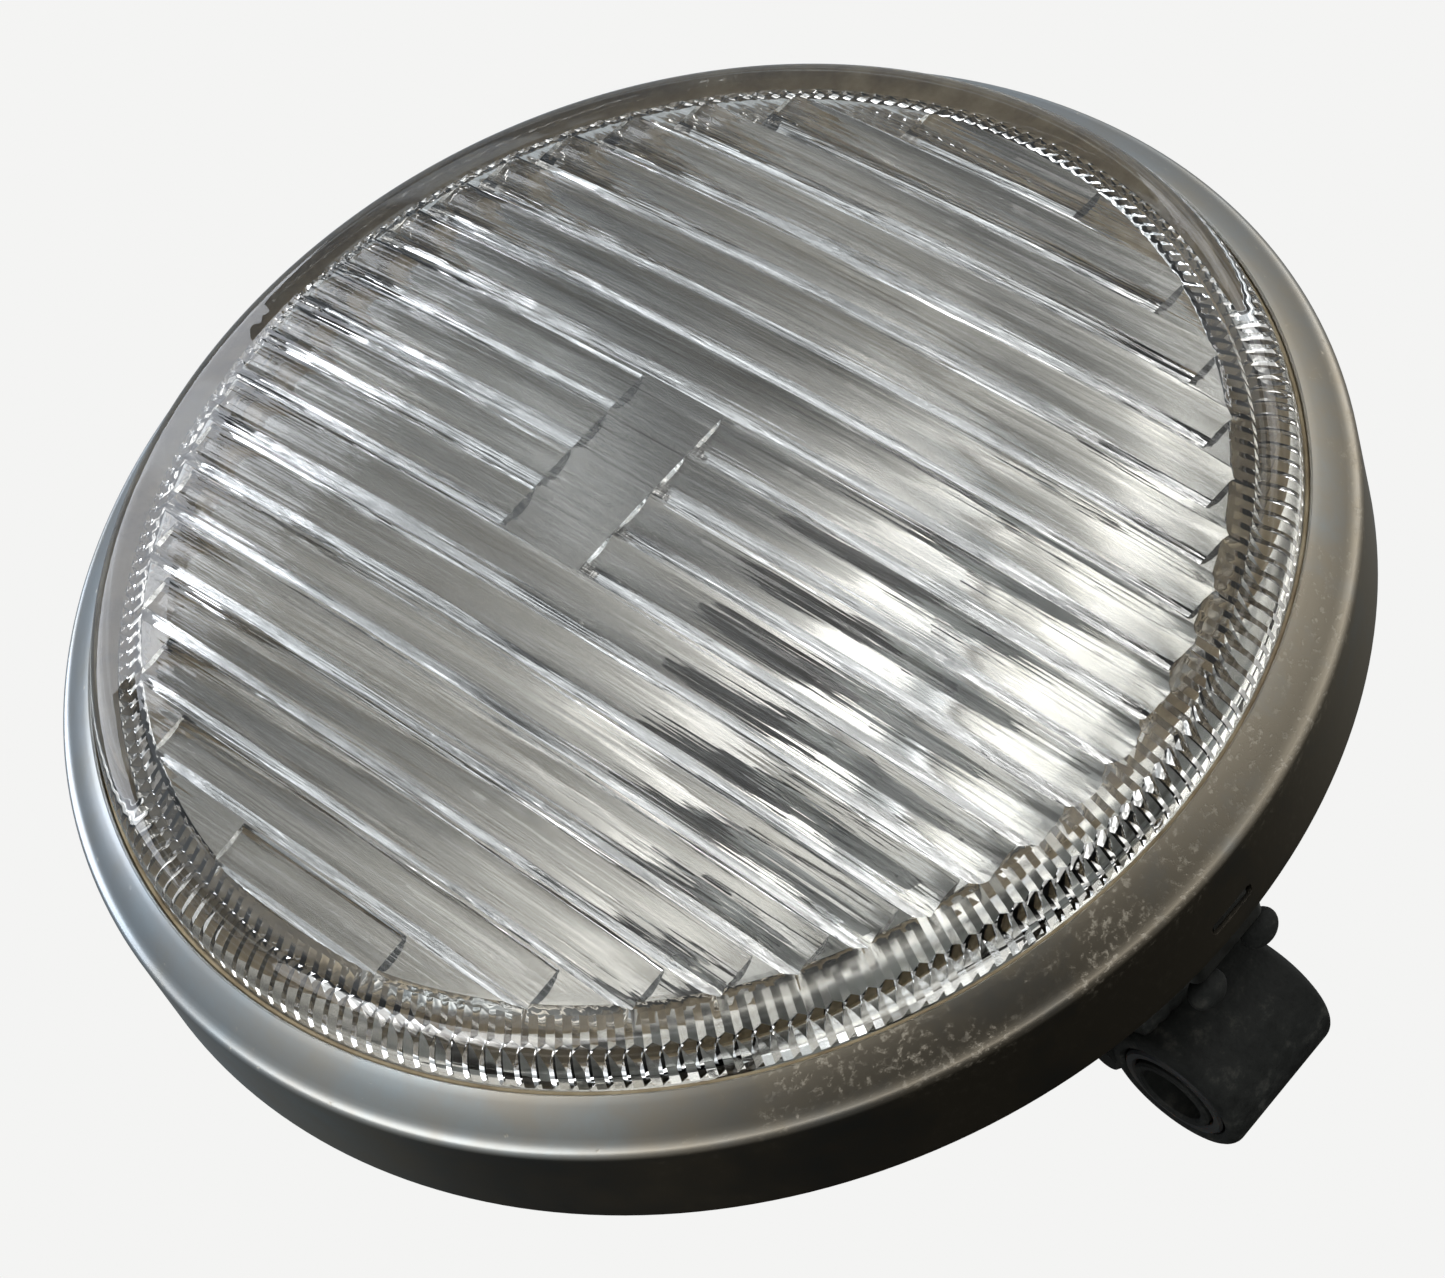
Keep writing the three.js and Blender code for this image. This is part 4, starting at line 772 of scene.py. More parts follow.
# %% Burnt steel of the shield: black-brown oxide that the bulb's heat has grown on it
burnt, tree, shader = finish_named("burnt_black_steel", Metallic=0.6)
place = add(tree, "TexCoord").outputs["Object"]
scale = add(tree, "TexNoise", {"Vector": place, "Scale": per_metre(3), "Detail": 5.0, "Roughness": 0.65})
tone = add(tree, "ValToRGB", {"Fac": scale.outputs["Fac"]}, stops=(
    (0.35, "#1B1A19"), (0.7, "#3A342C"),
))
tree.links.new(tone.outputs["Color"], shader.inputs["Base Color"])
matt = add(tree, "MapRange", {
    "Value": scale.outputs["Fac"], "From Min": 0.3, "From Max": 0.7, "To Min": 0.42, "To Max": 0.65,
})
tree.links.new(matt.outputs["Result"], shader.inputs["Roughness"])
print("burnt steel")

# %% Dull zinc plate on pressed steel
zinc, tree, shader = finish_named("dull_zinc_plate", Metallic=1.0)
place = add(tree, "TexCoord").outputs["Object"]
bloom = add(tree, "TexNoise", {"Vector": place, "Scale": per_metre(4), "Detail": 6.0, "Roughness": 0.6})
tone = add(tree, "ValToRGB", {"Fac": bloom.outputs["Fac"]}, stops=(
    (0.3, "#8D908F"), (0.75, "#6F6D66"), (0.5, "#9EA1A0"),
))
tree.links.new(tone.outputs["Color"], shader.inputs["Base Color"])
satin = add(tree, "MapRange", {
    "Value": bloom.outputs["Fac"], "From Min": 0.3, "From Max": 0.7, "To Min": 0.34, "To Max": 0.58,
})
tree.links.new(satin.outputs["Result"], shader.inputs["Roughness"])
peel = add(tree, "TexNoise", {"Vector": place, "Scale": per_metre(0.6), "Detail": 3.0})
skin = add(tree, "Bump", {"Height": peel.outputs["Fac"], "Strength": 0.25, "Distance": 0.0001})
tree.links.new(skin.outputs[0], shader.inputs["Normal"])

# %% Tempered spring steel, oil-dark
spring, tree, shader = finish_named("tempered_spring_steel", Metallic=1.0)
place = add(tree, "TexCoord").outputs["Object"]
tint = add(tree, "TexNoise", {"Vector": place, "Scale": per_metre(5), "Detail": 4.0})
tone = add(tree, "ValToRGB", {"Fac": tint.outputs["Fac"]}, stops=((0.35, "#6E6C69"), (0.7, "#5A4E42")))
tree.links.new(tone.outputs["Color"], shader.inputs["Base Color"])
satin = add(tree, "MapRange", {"Value": tint.outputs["Fac"], "To Min": 0.28, "To Max": 0.5})
tree.links.new(satin.outputs["Result"], shader.inputs["Roughness"])

# %% [markdown]
# ## Clips round the reflector
#
# Four bent strips of spring steel stand along the skirt and press the reflector's flange on the gasket.
# Each is the same bent outline drawn out to its width, then turned to where its plain node sits.

# %% Reflector clips
CLIP_WALL = 0.8
CLIP_HALF = 5.0
CLIP_FOOT = 78.34  # distance from the axis of the strip's outer face
CLIP_FRONT = 1.8
CLIP_REAR = 8.3
CLIP_FINGER = 6.5
BEND = 1.2

clip_outline = [
    (CLIP_FRONT, CLIP_FOOT - CLIP_WALL),
    (CLIP_FRONT, CLIP_FOOT),
    *arc((CLIP_REAR - BEND, CLIP_FOOT - BEND), BEND, 90, 0, 6),
    (CLIP_REAR, CLIP_FOOT - CLIP_FINGER),
    (CLIP_REAR - CLIP_WALL, CLIP_FOOT - CLIP_FINGER),
    *arc((CLIP_REAR - BEND, CLIP_FOOT - BEND), BEND - CLIP_WALL, 0, 90, 4),
]
for number in range(1, 5):
    clip_low, clip_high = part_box(f"reflector_clip_{number}")
    towards_clip = (clip_low + clip_high) / 2 - edge_point
    turn = math.degrees(math.atan2(towards_clip.x, towards_clip.z))
    clip_bm = rounded(drawn(clip_outline, -CLIP_HALF, CLIP_HALF), 0.15, segments=1, sharper_than=60)
    moved(clip_bm, turn=turn)
    piece(clip_bm, f"mirror_clip_{number}", spring, "lens_unit", "spring_steel", f"reflector_clip_{number}")

# %% [markdown]
# ## Bulb holder and glare shield
#
# The holder is a stepped ring pressed into the neck of the reflector. The shield is a little cup in front
# of the bulb on two strip legs; it stops light that would dazzle, and through the flutes it shows as dark
# streaks in the middle of the lamp.

# %% Bulb holder
SEAT = 60.9  # face that the bulb's flange sits on
HOLDER_WALL = 1.1
HOLDER_HOLE = 7.6
HOLDER_STEP = 17.4
HOLDER_RADIUS = 23.0
HOLDER_REAR = 63.1
holder_outline = [
    (HOLDER_HOLE, SEAT - HOLDER_WALL),
    *arc((HOLDER_STEP - 0.8, SEAT - HOLDER_WALL + 0.8), 0.8, -90, 0, 4),
    (HOLDER_STEP, HOLDER_REAR - HOLDER_WALL),
    (HOLDER_RADIUS - 0.3, HOLDER_REAR - HOLDER_WALL),
    *arc((HOLDER_RADIUS - 0.4, HOLDER_REAR - 0.4), 0.4, 0, 90, 3),
    (HOLDER_STEP - HOLDER_WALL, HOLDER_REAR),
    (HOLDER_STEP - HOLDER_WALL, SEAT),
    (HOLDER_HOLE, SEAT),
]
piece(turned(holder_outline, 96), "bulb_ring", zinc, "lens_unit", "plated_steel", "bulb_holder")

# %% Glare shield
SHIELD_RADIUS = 10.0
SHIELD_FRONT = 23.7
SHIELD_REAR = 37.7
SHIELD_WALL = 0.8
SHIELD_FOOT = 22.0
LEG_HALF = 2.0
cup = turned([
    (0, SHIELD_FRONT),
    *arc((SHIELD_RADIUS - 2, SHIELD_FRONT + 2), 2, -90, 0, 6),
    *arc((SHIELD_RADIUS - 0.4, SHIELD_REAR - 0.4), 0.4, 0, 180, 6),
    *arc((SHIELD_RADIUS - 2, SHIELD_FRONT + 2), 2 - SHIELD_WALL, 0, -90, 6),
    (0, SHIELD_FRONT + SHIELD_WALL),
], around=72)
foot_back = mirror_back(SHIELD_FOOT) - 0.7
leg_outline = [
    (SHIELD_REAR - 5, SHIELD_RADIUS - 0.4),
    (SHIELD_REAR - 5, SHIELD_RADIUS + 0.4),
    (SHIELD_REAR, SHIELD_RADIUS + 0.5),
    (foot_back - 1.4, SHIELD_FOOT),
    (foot_back - 2.4, SHIELD_FOOT + 3.2),
    (foot_back - 1.6, SHIELD_FOOT + 3.3),
    (foot_back - 0.3, SHIELD_FOOT - 0.5),
    (SHIELD_REAR + 0.5, SHIELD_RADIUS - 0.3),
]
legs = [moved(rounded(drawn(leg_outline, -LEG_HALF, LEG_HALF), 0.12, 1, 60), turn=side) for side in (90, -90)]
piece(joined(cup, *legs), "glare_shield", burnt, "lens_unit", "black_iron", "bulb_shield")

# %% [markdown]
# ## Bulb
#
# A single-filament halogen bulb: a pressed base with a wide flange, a quartz tube with a pinched tip, a
# coil of tungsten across it on two legs, and a short lead with its own connector.

# %% Quartz, tungsten, brass and the lead's woven sleeve
quartz, tree, shader = finish_named("fused_quartz", Transmission_Weight=1.0, IOR=1.46)
place = add(tree, "TexCoord").outputs["Object"]
smoke = add(tree, "TexNoise", {"Vector": place, "Scale": per_metre(8), "Detail": 3.0})
tone = add(tree, "ValToRGB", {"Fac": smoke.outputs["Fac"]}, stops=((0.4, "#F7F7F5"), (0.8, "#D9D6D0")))
tree.links.new(tone.outputs["Color"], shader.inputs["Base Color"])
film = add(tree, "MapRange", {"Value": smoke.outputs["Fac"], "To Min": 0.01, "To Max": 0.08})
tree.links.new(film.outputs["Result"], shader.inputs["Roughness"])

tungsten, tree, shader = finish_named("drawn_tungsten", Metallic=1.0)
place = add(tree, "TexCoord").outputs["Object"]
draw_marks = add(tree, "TexNoise", {"Vector": place, "Scale": per_metre(0.5)})
tone = add(tree, "ValToRGB", {"Fac": draw_marks.outputs["Fac"]}, stops=((0.3, "#7F8184"), (0.7, "#A3A5A8")))
tree.links.new(tone.outputs["Color"], shader.inputs["Base Color"])
rub = add(tree, "MapRange", {"Value": draw_marks.outputs["Fac"], "To Min": 0.3, "To Max": 0.5})
tree.links.new(rub.outputs["Result"], shader.inputs["Roughness"])

brass, tree, shader = finish_named("tarnished_brass", Metallic=1.0)
place = add(tree, "TexCoord").outputs["Object"]
tarnish = add(tree, "TexNoise", {"Vector": place, "Scale": per_metre(3), "Detail": 5.0})
tone = add(tree, "ValToRGB", {"Fac": tarnish.outputs["Fac"]}, stops=((0.35, "#C2A052"), (0.7, "#7E6532")))
tree.links.new(tone.outputs["Color"], shader.inputs["Base Color"])
rub = add(tree, "MapRange", {"Value": tarnish.outputs["Fac"], "To Min": 0.25, "To Max": 0.5})
tree.links.new(rub.outputs["Result"], shader.inputs["Roughness"])

sleeving, tree, shader = finish_named("woven_glass_sleeving", Roughness=0.85)
place = add(tree, "TexCoord").outputs["Object"]
over = add(tree, "TexWave", {
    "Vector": place, "Scale": per_metre(3), "Distortion": 0.5,
}, bands_direction="DIAGONAL")
tone = add(tree, "ValToRGB", {"Fac": over.outputs["Fac"]}, stops=((0.3, "#1C1B1A"), (0.8, "#3A3835")))
tree.links.new(tone.outputs["Color"], shader.inputs["Base Color"])
weave = add(tree, "Bump", {"Height": over.outputs["Fac"], "Strength": 0.6, "Distance": 0.0002})
tree.links.new(weave.outputs[0], shader.inputs["Normal"])

# %% Bulb base, quartz tube and filament
BULB_GLASS = 5.7
BULB_FLANGE_REAR = 62.2
BOSS = 6.0
BOSS_REAR = 69.2
STUB_FRONT = 56.5
TUBE_REAR = 56.2
TUBE_TIP = 32.7
TUBE_WALL = 0.8
FILAMENT_BACK = 42.9
base_outline = [
    (0, STUB_FRONT),
    *arc((BULB_GLASS - 0.4, STUB_FRONT + 0.4), 0.4, -90, 0, 3),
    (BULB_GLASS, SEAT + 0.3),
    (9.3, SEAT + 0.3),
    *arc((9.3, SEAT + 0.8), 0.5, -90, 90, 5),
    (BOSS + 0.3, BULB_FLANGE_REAR),
    (BOSS, BULB_FLANGE_REAR + 0.3),
    (BOSS, BULB_FLANGE_REAR + 3.0),
    (BOSS - 0.4, BULB_FLANGE_REAR + 3.3),
    (BOSS - 0.4, BULB_FLANGE_REAR + 3.9),
    (BOSS, BULB_FLANGE_REAR + 4.2),
    *arc((BOSS - 0.6, BOSS_REAR - 0.6), 0.6, 0, 90, 4),
    (0, BOSS_REAR),
]
piece(turned(base_outline, 64), "bulb_cap", zinc, "lens_unit", "plated_steel", "bulb_base")

tip_middle = (0, TUBE_TIP + BULB_GLASS)
tube_outline = [
    (0, TUBE_TIP - 0.5),
    (0.7, TUBE_TIP - 0.35),
    (1.1, TUBE_TIP + 0.15),
    *arc(tip_middle, BULB_GLASS, -78, 0, 10),
    (BULB_GLASS, TUBE_REAR),
    (BULB_GLASS - TUBE_WALL, TUBE_REAR),
    *arc(tip_middle, BULB_GLASS - TUBE_WALL, 0, -90, 10),
]
piece(turned(tube_outline, 64), "bulb_tube", quartz, "lens_unit", "bulb_quartz", "bulb_glass")

COIL_HALF = 2.5
COIL_RADIUS = 0.65
COIL_TURNS = 9
COIL_STEPS = COIL_TURNS * 12
coil = wire([
    (
        -COIL_HALF + 2 * COIL_HALF * i / COIL_STEPS,
        FILAMENT_BACK + COIL_RADIUS * math.sin(2 * math.pi * i / 12),
        COIL_RADIUS * math.cos(2 * math.pi * i / 12),
    )
    for i in range(COIL_STEPS + 1)
], 0.14, sides=8, soft=False)
posts = [
    wire([
        (side, TUBE_REAR - 0.4, 0),
        (side, FILAMENT_BACK + 1.2, 0),
        (side, FILAMENT_BACK, 0.5),
    ], 0.3, 8, False)
    for side in (-COIL_HALF, COIL_HALF)
]
bridge = wire([(-3.3, TUBE_REAR - 3.3, 0), (3.3, TUBE_REAR - 3.3, 0)], 0.7, 12, False)
piece(joined(coil, *posts, bridge), "tungsten_coil", tungsten, "lens_unit", "spring_steel", "bulb_filament")

# %% Lead and connector
LEAD_RADIUS = 1.3
CONNECTOR_UP = -26.5
CONNECTOR_FRONT = 58.8
CONNECTOR_REAR = 66.8
lead_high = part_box("bulb_lead")[1]
lead_rear = (lead_high.y - edge_point.y) / MM - LEAD_RADIUS
lead = wire([
    (0, BOSS_REAR + 0.3, 0),
    (0, BOSS_REAR + 3.5, -0.3),
    (0, lead_rear + 0.3, -3.2),
    (0, lead_rear + 0.4, -12),
    (0, lead_rear - 2.0, -20),
    (0, CONNECTOR_REAR + 4.0, CONNECTOR_UP + 0.4),
    (0, CONNECTOR_REAR + 0.3, CONNECTOR_UP),
], LEAD_RADIUS, sides=16)
piece(lead, "bulb_tail", sleeving, "lens_unit", "lead_sleeve", "bulb_lead")

connector = turned([
    (0, CONNECTOR_FRONT),
    *arc((0.9, CONNECTOR_FRONT + 0.4), 0.4, -90, 0, 3),
    (1.3, CONNECTOR_FRONT + 2),
    (2.0, CONNECTOR_FRONT + 2.4),
    (2.2, CONNECTOR_FRONT + 2.8),
    (2.2, CONNECTOR_REAR - 2.4),
    (1.9, CONNECTOR_REAR - 2.2),
    (1.9, CONNECTOR_REAR - 1.6),
    (2.2, CONNECTOR_REAR - 1.4),
    (2.1, CONNECTOR_REAR),
    (0, CONNECTOR_REAR),
], 40, middle=(0, 0, CONNECTOR_UP))
piece(connector, "lead_end", brass, "lens_unit", "brass", "lead_connector")

# %% [markdown]
# ## Bulb clip
#
# One piece of spring wire bent into a fork. Its bar turns in the eyes of a small bracket, and its two legs
# lie across the bulb's flange. A swept wire with a round section is all it needs, bends included.

# %% Bulb clip and its bracket
WIRE_RADIUS = 0.78
FORK_HALF = 7.6
FORK_TOP = 12.2
FORK_LOW = -8.0
FORK_BACK = 63.3
FORK_BEND = 1.6


def fork_side(side):
    """The points of half the fork, from the middle of its bar to its toe."""
    x = side * FORK_HALF
    top = arc((FORK_HALF - FORK_BEND, FORK_TOP - FORK_BEND), FORK_BEND, 90, 0, 6)
    toe = arc((FORK_HALF + FORK_BEND, FORK_LOW + FORK_BEND), FORK_BEND, 180, 270, 6)
    bend = [(side * a, FORK_BACK, b) for a, b in top]
    foot = [(side * a, FORK_BACK, b) for a, b in toe]
    return [*bend, (x, FORK_BACK, 0), *foot, (x + side * (FORK_BEND + 0.7), FORK_BACK, FORK_LOW)]


fork = wire([*reversed(fork_side(-1)), *fork_side(1)], WIRE_RADIUS, 16, soft=False)
piece(fork, "wire_fork", spring, "clip", "spring_steel", "bulb_clip")

bracket_low, bracket_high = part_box("clip_bracket")
corner_low = LAMP.inverted() @ bracket_low
corner_high = LAMP.inverted() @ bracket_high
EAR_X = 4.5
EAR_HALF = 0.55
EYE = WIRE_RADIUS + 0.3
plate = box(
    (corner_low.x, corner_low.y, HOLDER_STEP - 0.5),
    (corner_high.x, corner_low.y + 0.8, corner_high.z),
)
ears = [
    drawn([
        (corner_low.y, FORK_TOP - 2.0),
        *arc((FORK_BACK, FORK_TOP), 2.0, -90, 0, 8),
        *arc((FORK_BACK, HOLDER_STEP - 0.5), 2.0, 0, 90, 6),
        (corner_low.y, HOLDER_STEP + 1.5),
    ], side * EAR_X - EAR_HALF, side * EAR_X + EAR_HALF)
    for side in (-1, 1)
]
eye_tool = turned([(0, -10), (EYE, -10), (EYE, 10), (0, 10)], 32, (0, FORK_BACK, FORK_TOP), across=True)
bracket = combined(joined(*ears), eye_tool, "DIFFERENCE")
bracket = joined(rounded(bracket, 0.12, 1, 60), rounded(plate, 0.2, 2))
piece(bracket, "fork_bracket", zinc, "lens_unit", "plated_steel", "clip_bracket")

# %% [markdown]
# ## Bowl
#
# The bowl is drawn from sheet steel, deep and round-backed, with a straight lip that goes inside the rim.
# Two notches in the lip let the hook in at the top and the latch out at the foot, and the back wall has
# three holes. It is stove-enamelled black: glossy once, now faintly orange-peeled and dusty.

# %% Black stove enamel: thin baked paint over steel
enamel, tree, shader = finish_named("black_stove_enamel", Coat_Weight=0.35, Coat_Roughness=0.2)
place = add(tree, "TexCoord").outputs["Object"]
dust = add(tree, "TexNoise", {"Vector": place, "Scale": per_metre(16), "Detail": 7.0, "Roughness": 0.65})
tone = add(tree, "ValToRGB", {"Fac": dust.outputs["Fac"]}, stops=(
    (0.35, "#131415"), (0.8, "#34332F"), (0.55, "#1B1C1D"),
))
tree.links.new(tone.outputs["Color"], shader.inputs["Base Color"])
gloss = add(tree, "MapRange", {
    "Value": dust.outputs["Fac"], "From Min": 0.3, "From Max": 0.75, "To Min": 0.28, "To Max": 0.6,
})
tree.links.new(gloss.outputs["Result"], shader.inputs["Roughness"])
peel = add(tree, "TexNoise", {"Vector": place, "Scale": per_metre(1.2), "Detail": 2.0})
skin = add(tree, "Bump", {"Height": peel.outputs["Fac"], "Strength": 0.2, "Distance": 0.0001})
tree.links.new(skin.outputs[0], shader.inputs["Normal"])

# %% Bowl
BOWL_WALL = 1.0
LIP_OUTSIDE = RIM_INSIDE - 0.6
LIP_INSIDE = LIP_OUTSIDE - BOWL_WALL
LIP_FRONT = 9.2
SHOULDER = 74.8
SHOULDER_BACK = 14.6
WAIST = 60.5
BOWL_BACK = 87.5
BOWL_CORNER = 5.0
bowl_rate = (SHOULDER ** 2 - WAIST ** 2) / (pivot.y - SHOULDER_BACK)


def bowl_side(back):
    """Radius of the bowl's outside at a distance behind the rim's edge."""
    return math.sqrt(SHOULDER ** 2 - bowl_rate * (back - SHOULDER_BACK))


corner_back = BOWL_BACK - BOWL_CORNER
side_backs = [SHOULDER_BACK + 1.5 + (corner_back - SHOULDER_BACK - 1.5) * i / 28 for i in range(29)]
corner_radius = bowl_side(corner_back)
corner_outer = arc((corner_radius - BOWL_CORNER, corner_back), BOWL_CORNER, 0, 90, 8)[1:]
corner_inner = arc((corner_radius - BOWL_CORNER, corner_back), BOWL_CORNER - BOWL_WALL, 0, 90, 8)[1:]
bowl_outline = [
    *arc((LIP_OUTSIDE - BOWL_WALL / 2, LIP_FRONT + BOWL_WALL / 2), BOWL_WALL / 2, 180, 360, 6),
    (LIP_OUTSIDE, SHOULDER_BACK - 0.8),
    *arc((LIP_OUTSIDE - 0.8, SHOULDER_BACK - 0.8), 0.8, 0, 90, 4),
    (SHOULDER + 1.2, SHOULDER_BACK),
    *arc((SHOULDER + 0.6, SHOULDER_BACK + 1.0), 1.0, 250, 190, 3),
    *[(bowl_side(back), back) for back in side_backs],
    *corner_outer,
    (22, BOWL_BACK),
    (0, BOWL_BACK),
    (0, BOWL_BACK - BOWL_WALL),
    (22, BOWL_BACK - BOWL_WALL),
    *reversed(corner_inner),
    *[(bowl_side(back) - BOWL_WALL, back - 0.35) for back in reversed(side_backs)],
    (SHOULDER - 0.6, SHOULDER_BACK - BOWL_WALL),
    (LIP_INSIDE - 0.5, SHOULDER_BACK - BOWL_WALL),
    (LIP_INSIDE, SHOULDER_BACK - BOWL_WALL - 0.5),
]
GROMMET_UP = -20.0
EARTH_X = -17.0
PLUG_X = 16.0
NOTCH_HALF = 9.3
LATCH_NOTCH_HALF = 5.6
BORE_REACH = 4  # how far a cutter reaches past the wall


def bore(x, up, radius):
    """A cutter for a round hole through the back wall."""
    front = BOWL_BACK - BORE_REACH
    rear = BOWL_BACK + BORE_REACH
    return turned([(0, front), (radius, front), (radius, rear), (0, rear)], 40, (x, 0, up))


bowl_cuts = joined(
    box((-NOTCH_HALF, LIP_FRONT - 1, LIP_INSIDE - 3), (NOTCH_HALF, SHOULDER_BACK + 0.3, RIM_RADIUS)),
    box(
        (-LATCH_NOTCH_HALF, LIP_FRONT - 1, -RIM_RADIUS),
        (LATCH_NOTCH_HALF, SHOULDER_BACK + 0.3, -LIP_INSIDE + 3),
    ),
    bore(0, GROMMET_UP, 4.9),
    bore(EARTH_X, 0, 2.3),
    bore(PLUG_X, 0, 3.3),
)
bowl_bm = combined(turned(bowl_outline, around=200), bowl_cuts, "DIFFERENCE")
piece(bowl_bm, "enamelled_bowl", enamel, "housing", "black_enamel", "housing_bowl")

# %% [markdown]
# ## Seal, plug and grommet
#
# Three small mouldings in black rubber keep water out: a square ring on the step inside the bowl's lip, a
# plug in the breather hole, and the grommet that the supply cable would pass through. Rubber is dark, has
# almost no gloss, and picks up grey dust.

# %% Moulded black rubber
rubber, tree, shader = finish_named("moulded_black_rubber")
place = add(tree, "TexCoord").outputs["Object"]
dust = add(tree, "TexNoise", {"Vector": place, "Scale": per_metre(4), "Detail": 5.0, "Roughness": 0.7})
tone = add(tree, "ValToRGB", {"Fac": dust.outputs["Fac"]}, stops=((0.35, "#1A1A19"), (0.75, "#3B3A36")))
tree.links.new(tone.outputs["Color"], shader.inputs["Base Color"])
matt = add(tree, "MapRange", {"Value": dust.outputs["Fac"], "To Min": 0.6, "To Max": 0.95})
tree.links.new(matt.outputs["Result"], shader.inputs["Roughness"])
fine = add(tree, "TexNoise", {"Vector": place, "Scale": per_metre(0.4), "Detail": 2.0})
skin = add(tree, "Bump", {"Height": fine.outputs["Fac"], "Strength": 0.3, "Distance": 0.00005})
tree.links.new(skin.outputs[0], shader.inputs["Normal"])

# %% Seal, plug and grommet
SEAL_OUTER = SHOULDER - 0.3
SEAL_REAR = 13.3
SEAL_SIZE = 2.0
seal_outline = [
    *arc((SEAL_OUTER - 0.4, SEAL_REAR - 0.4), 0.4, 0, 90, 3),
    *arc((SEAL_OUTER - SEAL_SIZE + 0.4, SEAL_REAR - 0.4), 0.4, 90, 180, 3),
    *arc((SEAL_OUTER - SEAL_SIZE + 0.9, SEAL_REAR - SEAL_SIZE + 0.9), 0.9, 180, 270, 5),
    *arc((SEAL_OUTER - 0.9, SEAL_REAR - SEAL_SIZE + 0.9), 0.9, 270, 360, 5),
]
piece(turned(seal_outline), "bowl_seal", rubber, "housing", "rubber", "housing_seal")

plug_outline = [
    (0, 85.0),
    *arc((3.2, 85.4), 0.4, -90, 0, 3),
    (3.8, 86.2),
    (3.0, 86.2),
    (3.0, 87.8),
    (4.5, 87.8),
    *arc((4.0, 88.6), 0.6, -30, 80, 5),
    (1.6, 89.5),
    (1.2, 89.1),
    (0, 89.1),
]
piece(turned(plug_outline, 48, (PLUG_X, 0, 0)), "breather_bung", rubber, "housing", "rubber", "breather_plug")

grommet_outline = [
    (2.5, 84.4),
    *arc((5.1, 84.8), 0.6, -90, 0, 3),
    (5.7, 86.2),
    (4.6, 86.2),
    (4.6, 87.8),
    (6.5, 87.8),
    *arc((5.9, 89.2), 0.6, 0, 80, 4),
    (4.7, 90.5),
    (4.5, 91.4),
    (4.2, 91.7),
    (4.35, 92.3),
    (4.0, 92.9),
    (4.15, 93.6),
    (3.85, 94.4),
    *arc((3.4, 95.4), 0.4, 0, 90, 3),
    (2.9, 95.8),
    (2.5, 95.4),
]
gland = turned(grommet_outline, 64, (0, 0, GROMMET_UP))
piece(gland, "cable_gland", rubber, "housing", "rubber", "cable_grommet")

# %% [markdown]
# ## Earth point
#
# A slotted screw goes through the back wall and clamps a blade terminal with a nut inside the bowl, where
# the bulb's lead can be earthed.

# %% Earth screw, nut and blade
SCREW_RADIUS = 2.0
HEAD_RADIUS = 3.6
HEAD_BACK = 87.8
thread = []
for i in range(11):
    thread.append((SCREW_RADIUS, 82.7 + 0.34 * i))
    thread.append((SCREW_RADIUS - 0.18, 82.7 + 0.34 * i + 0.17))
screw = turned([
    (0, 82.5),
    (SCREW_RADIUS - 0.4, 82.5),
    *thread,
    (SCREW_RADIUS, HEAD_BACK),
    (HEAD_RADIUS, HEAD_BACK),
    (HEAD_RADIUS, HEAD_BACK + 0.7),
    *arc((0, HEAD_BACK - 2.6), 4.8, 44, 90, 6),
], 48, (EARTH_X, 0, 0))
slit = box((EARTH_X - 5, HEAD_BACK + 1.1, -0.45), (EARTH_X + 5, HEAD_BACK + 3, 0.45))
piece(combined(screw, slit, "DIFFERENCE"), "earth_bolt", zinc, "housing", "plated_steel", "earth_screw")

nut_low, nut_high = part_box("earth_nut")
nut_front = (nut_low.y - edge_point.y) / MM
nut_rear = (nut_high.y - edge_point.y) / MM
nut = turned([
    (SCREW_RADIUS + 0.3, nut_front + 0.3),
    (SCREW_RADIUS + 0.6, nut_front),
    (3.4, nut_front),
    (3.9, nut_front + 0.4),
    (3.9, nut_rear - 0.4),
    (3.4, nut_rear),
    (SCREW_RADIUS + 0.6, nut_rear),
    (SCREW_RADIUS + 0.3, nut_rear - 0.3),
], 6, (EARTH_X, 0, 0))
piece(nut, "earth_hexagon", zinc, "housing", "plated_steel", "earth_nut", sharp=25)

blade_low, blade_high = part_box("earth_tab")
blade_low = LAMP.inverted() @ blade_low
blade_high = LAMP.inverted() @ blade_high
BLADE_WALL = 0.8
BLADE_BEND = 1.4
blade = drawn([
    (blade_high.y, blade_low.z),
    (blade_high.y, blade_high.z - BLADE_BEND),
    *arc((blade_high.y - BLADE_BEND, blade_high.z - BLADE_BEND), BLADE_BEND, 0, 90, 6),
    (blade_low.y, blade_high.z),
    (blade_low.y, blade_high.z - BLADE_WALL),
    *arc((blade_high.y - BLADE_BEND, blade_high.z - BLADE_BEND), BLADE_BEND - BLADE_WALL, 90, 0, 4),
    (blade_high.y - BLADE_WALL, blade_low.z),
], blade_low.x, blade_high.x)
blade = combined(rounded(blade, 0.15, 1, 60), bore(EARTH_X, 0, 2.3), "DIFFERENCE")
piece(blade, "earth_blade", brass, "housing", "brass", "earth_tab")

# %% [markdown]
# ## Barrel, bearings and welds
#
# A short piece of thick tube lies across the lamp under the bowl and is welded to it on both sides. Inside
# it two nylon bushes turn on a steel sleeve, which the bracket of the car clamps with a bolt. The barrel
# and its welds were painted with the bowl, but only once over the scale, so they are dull and rough.

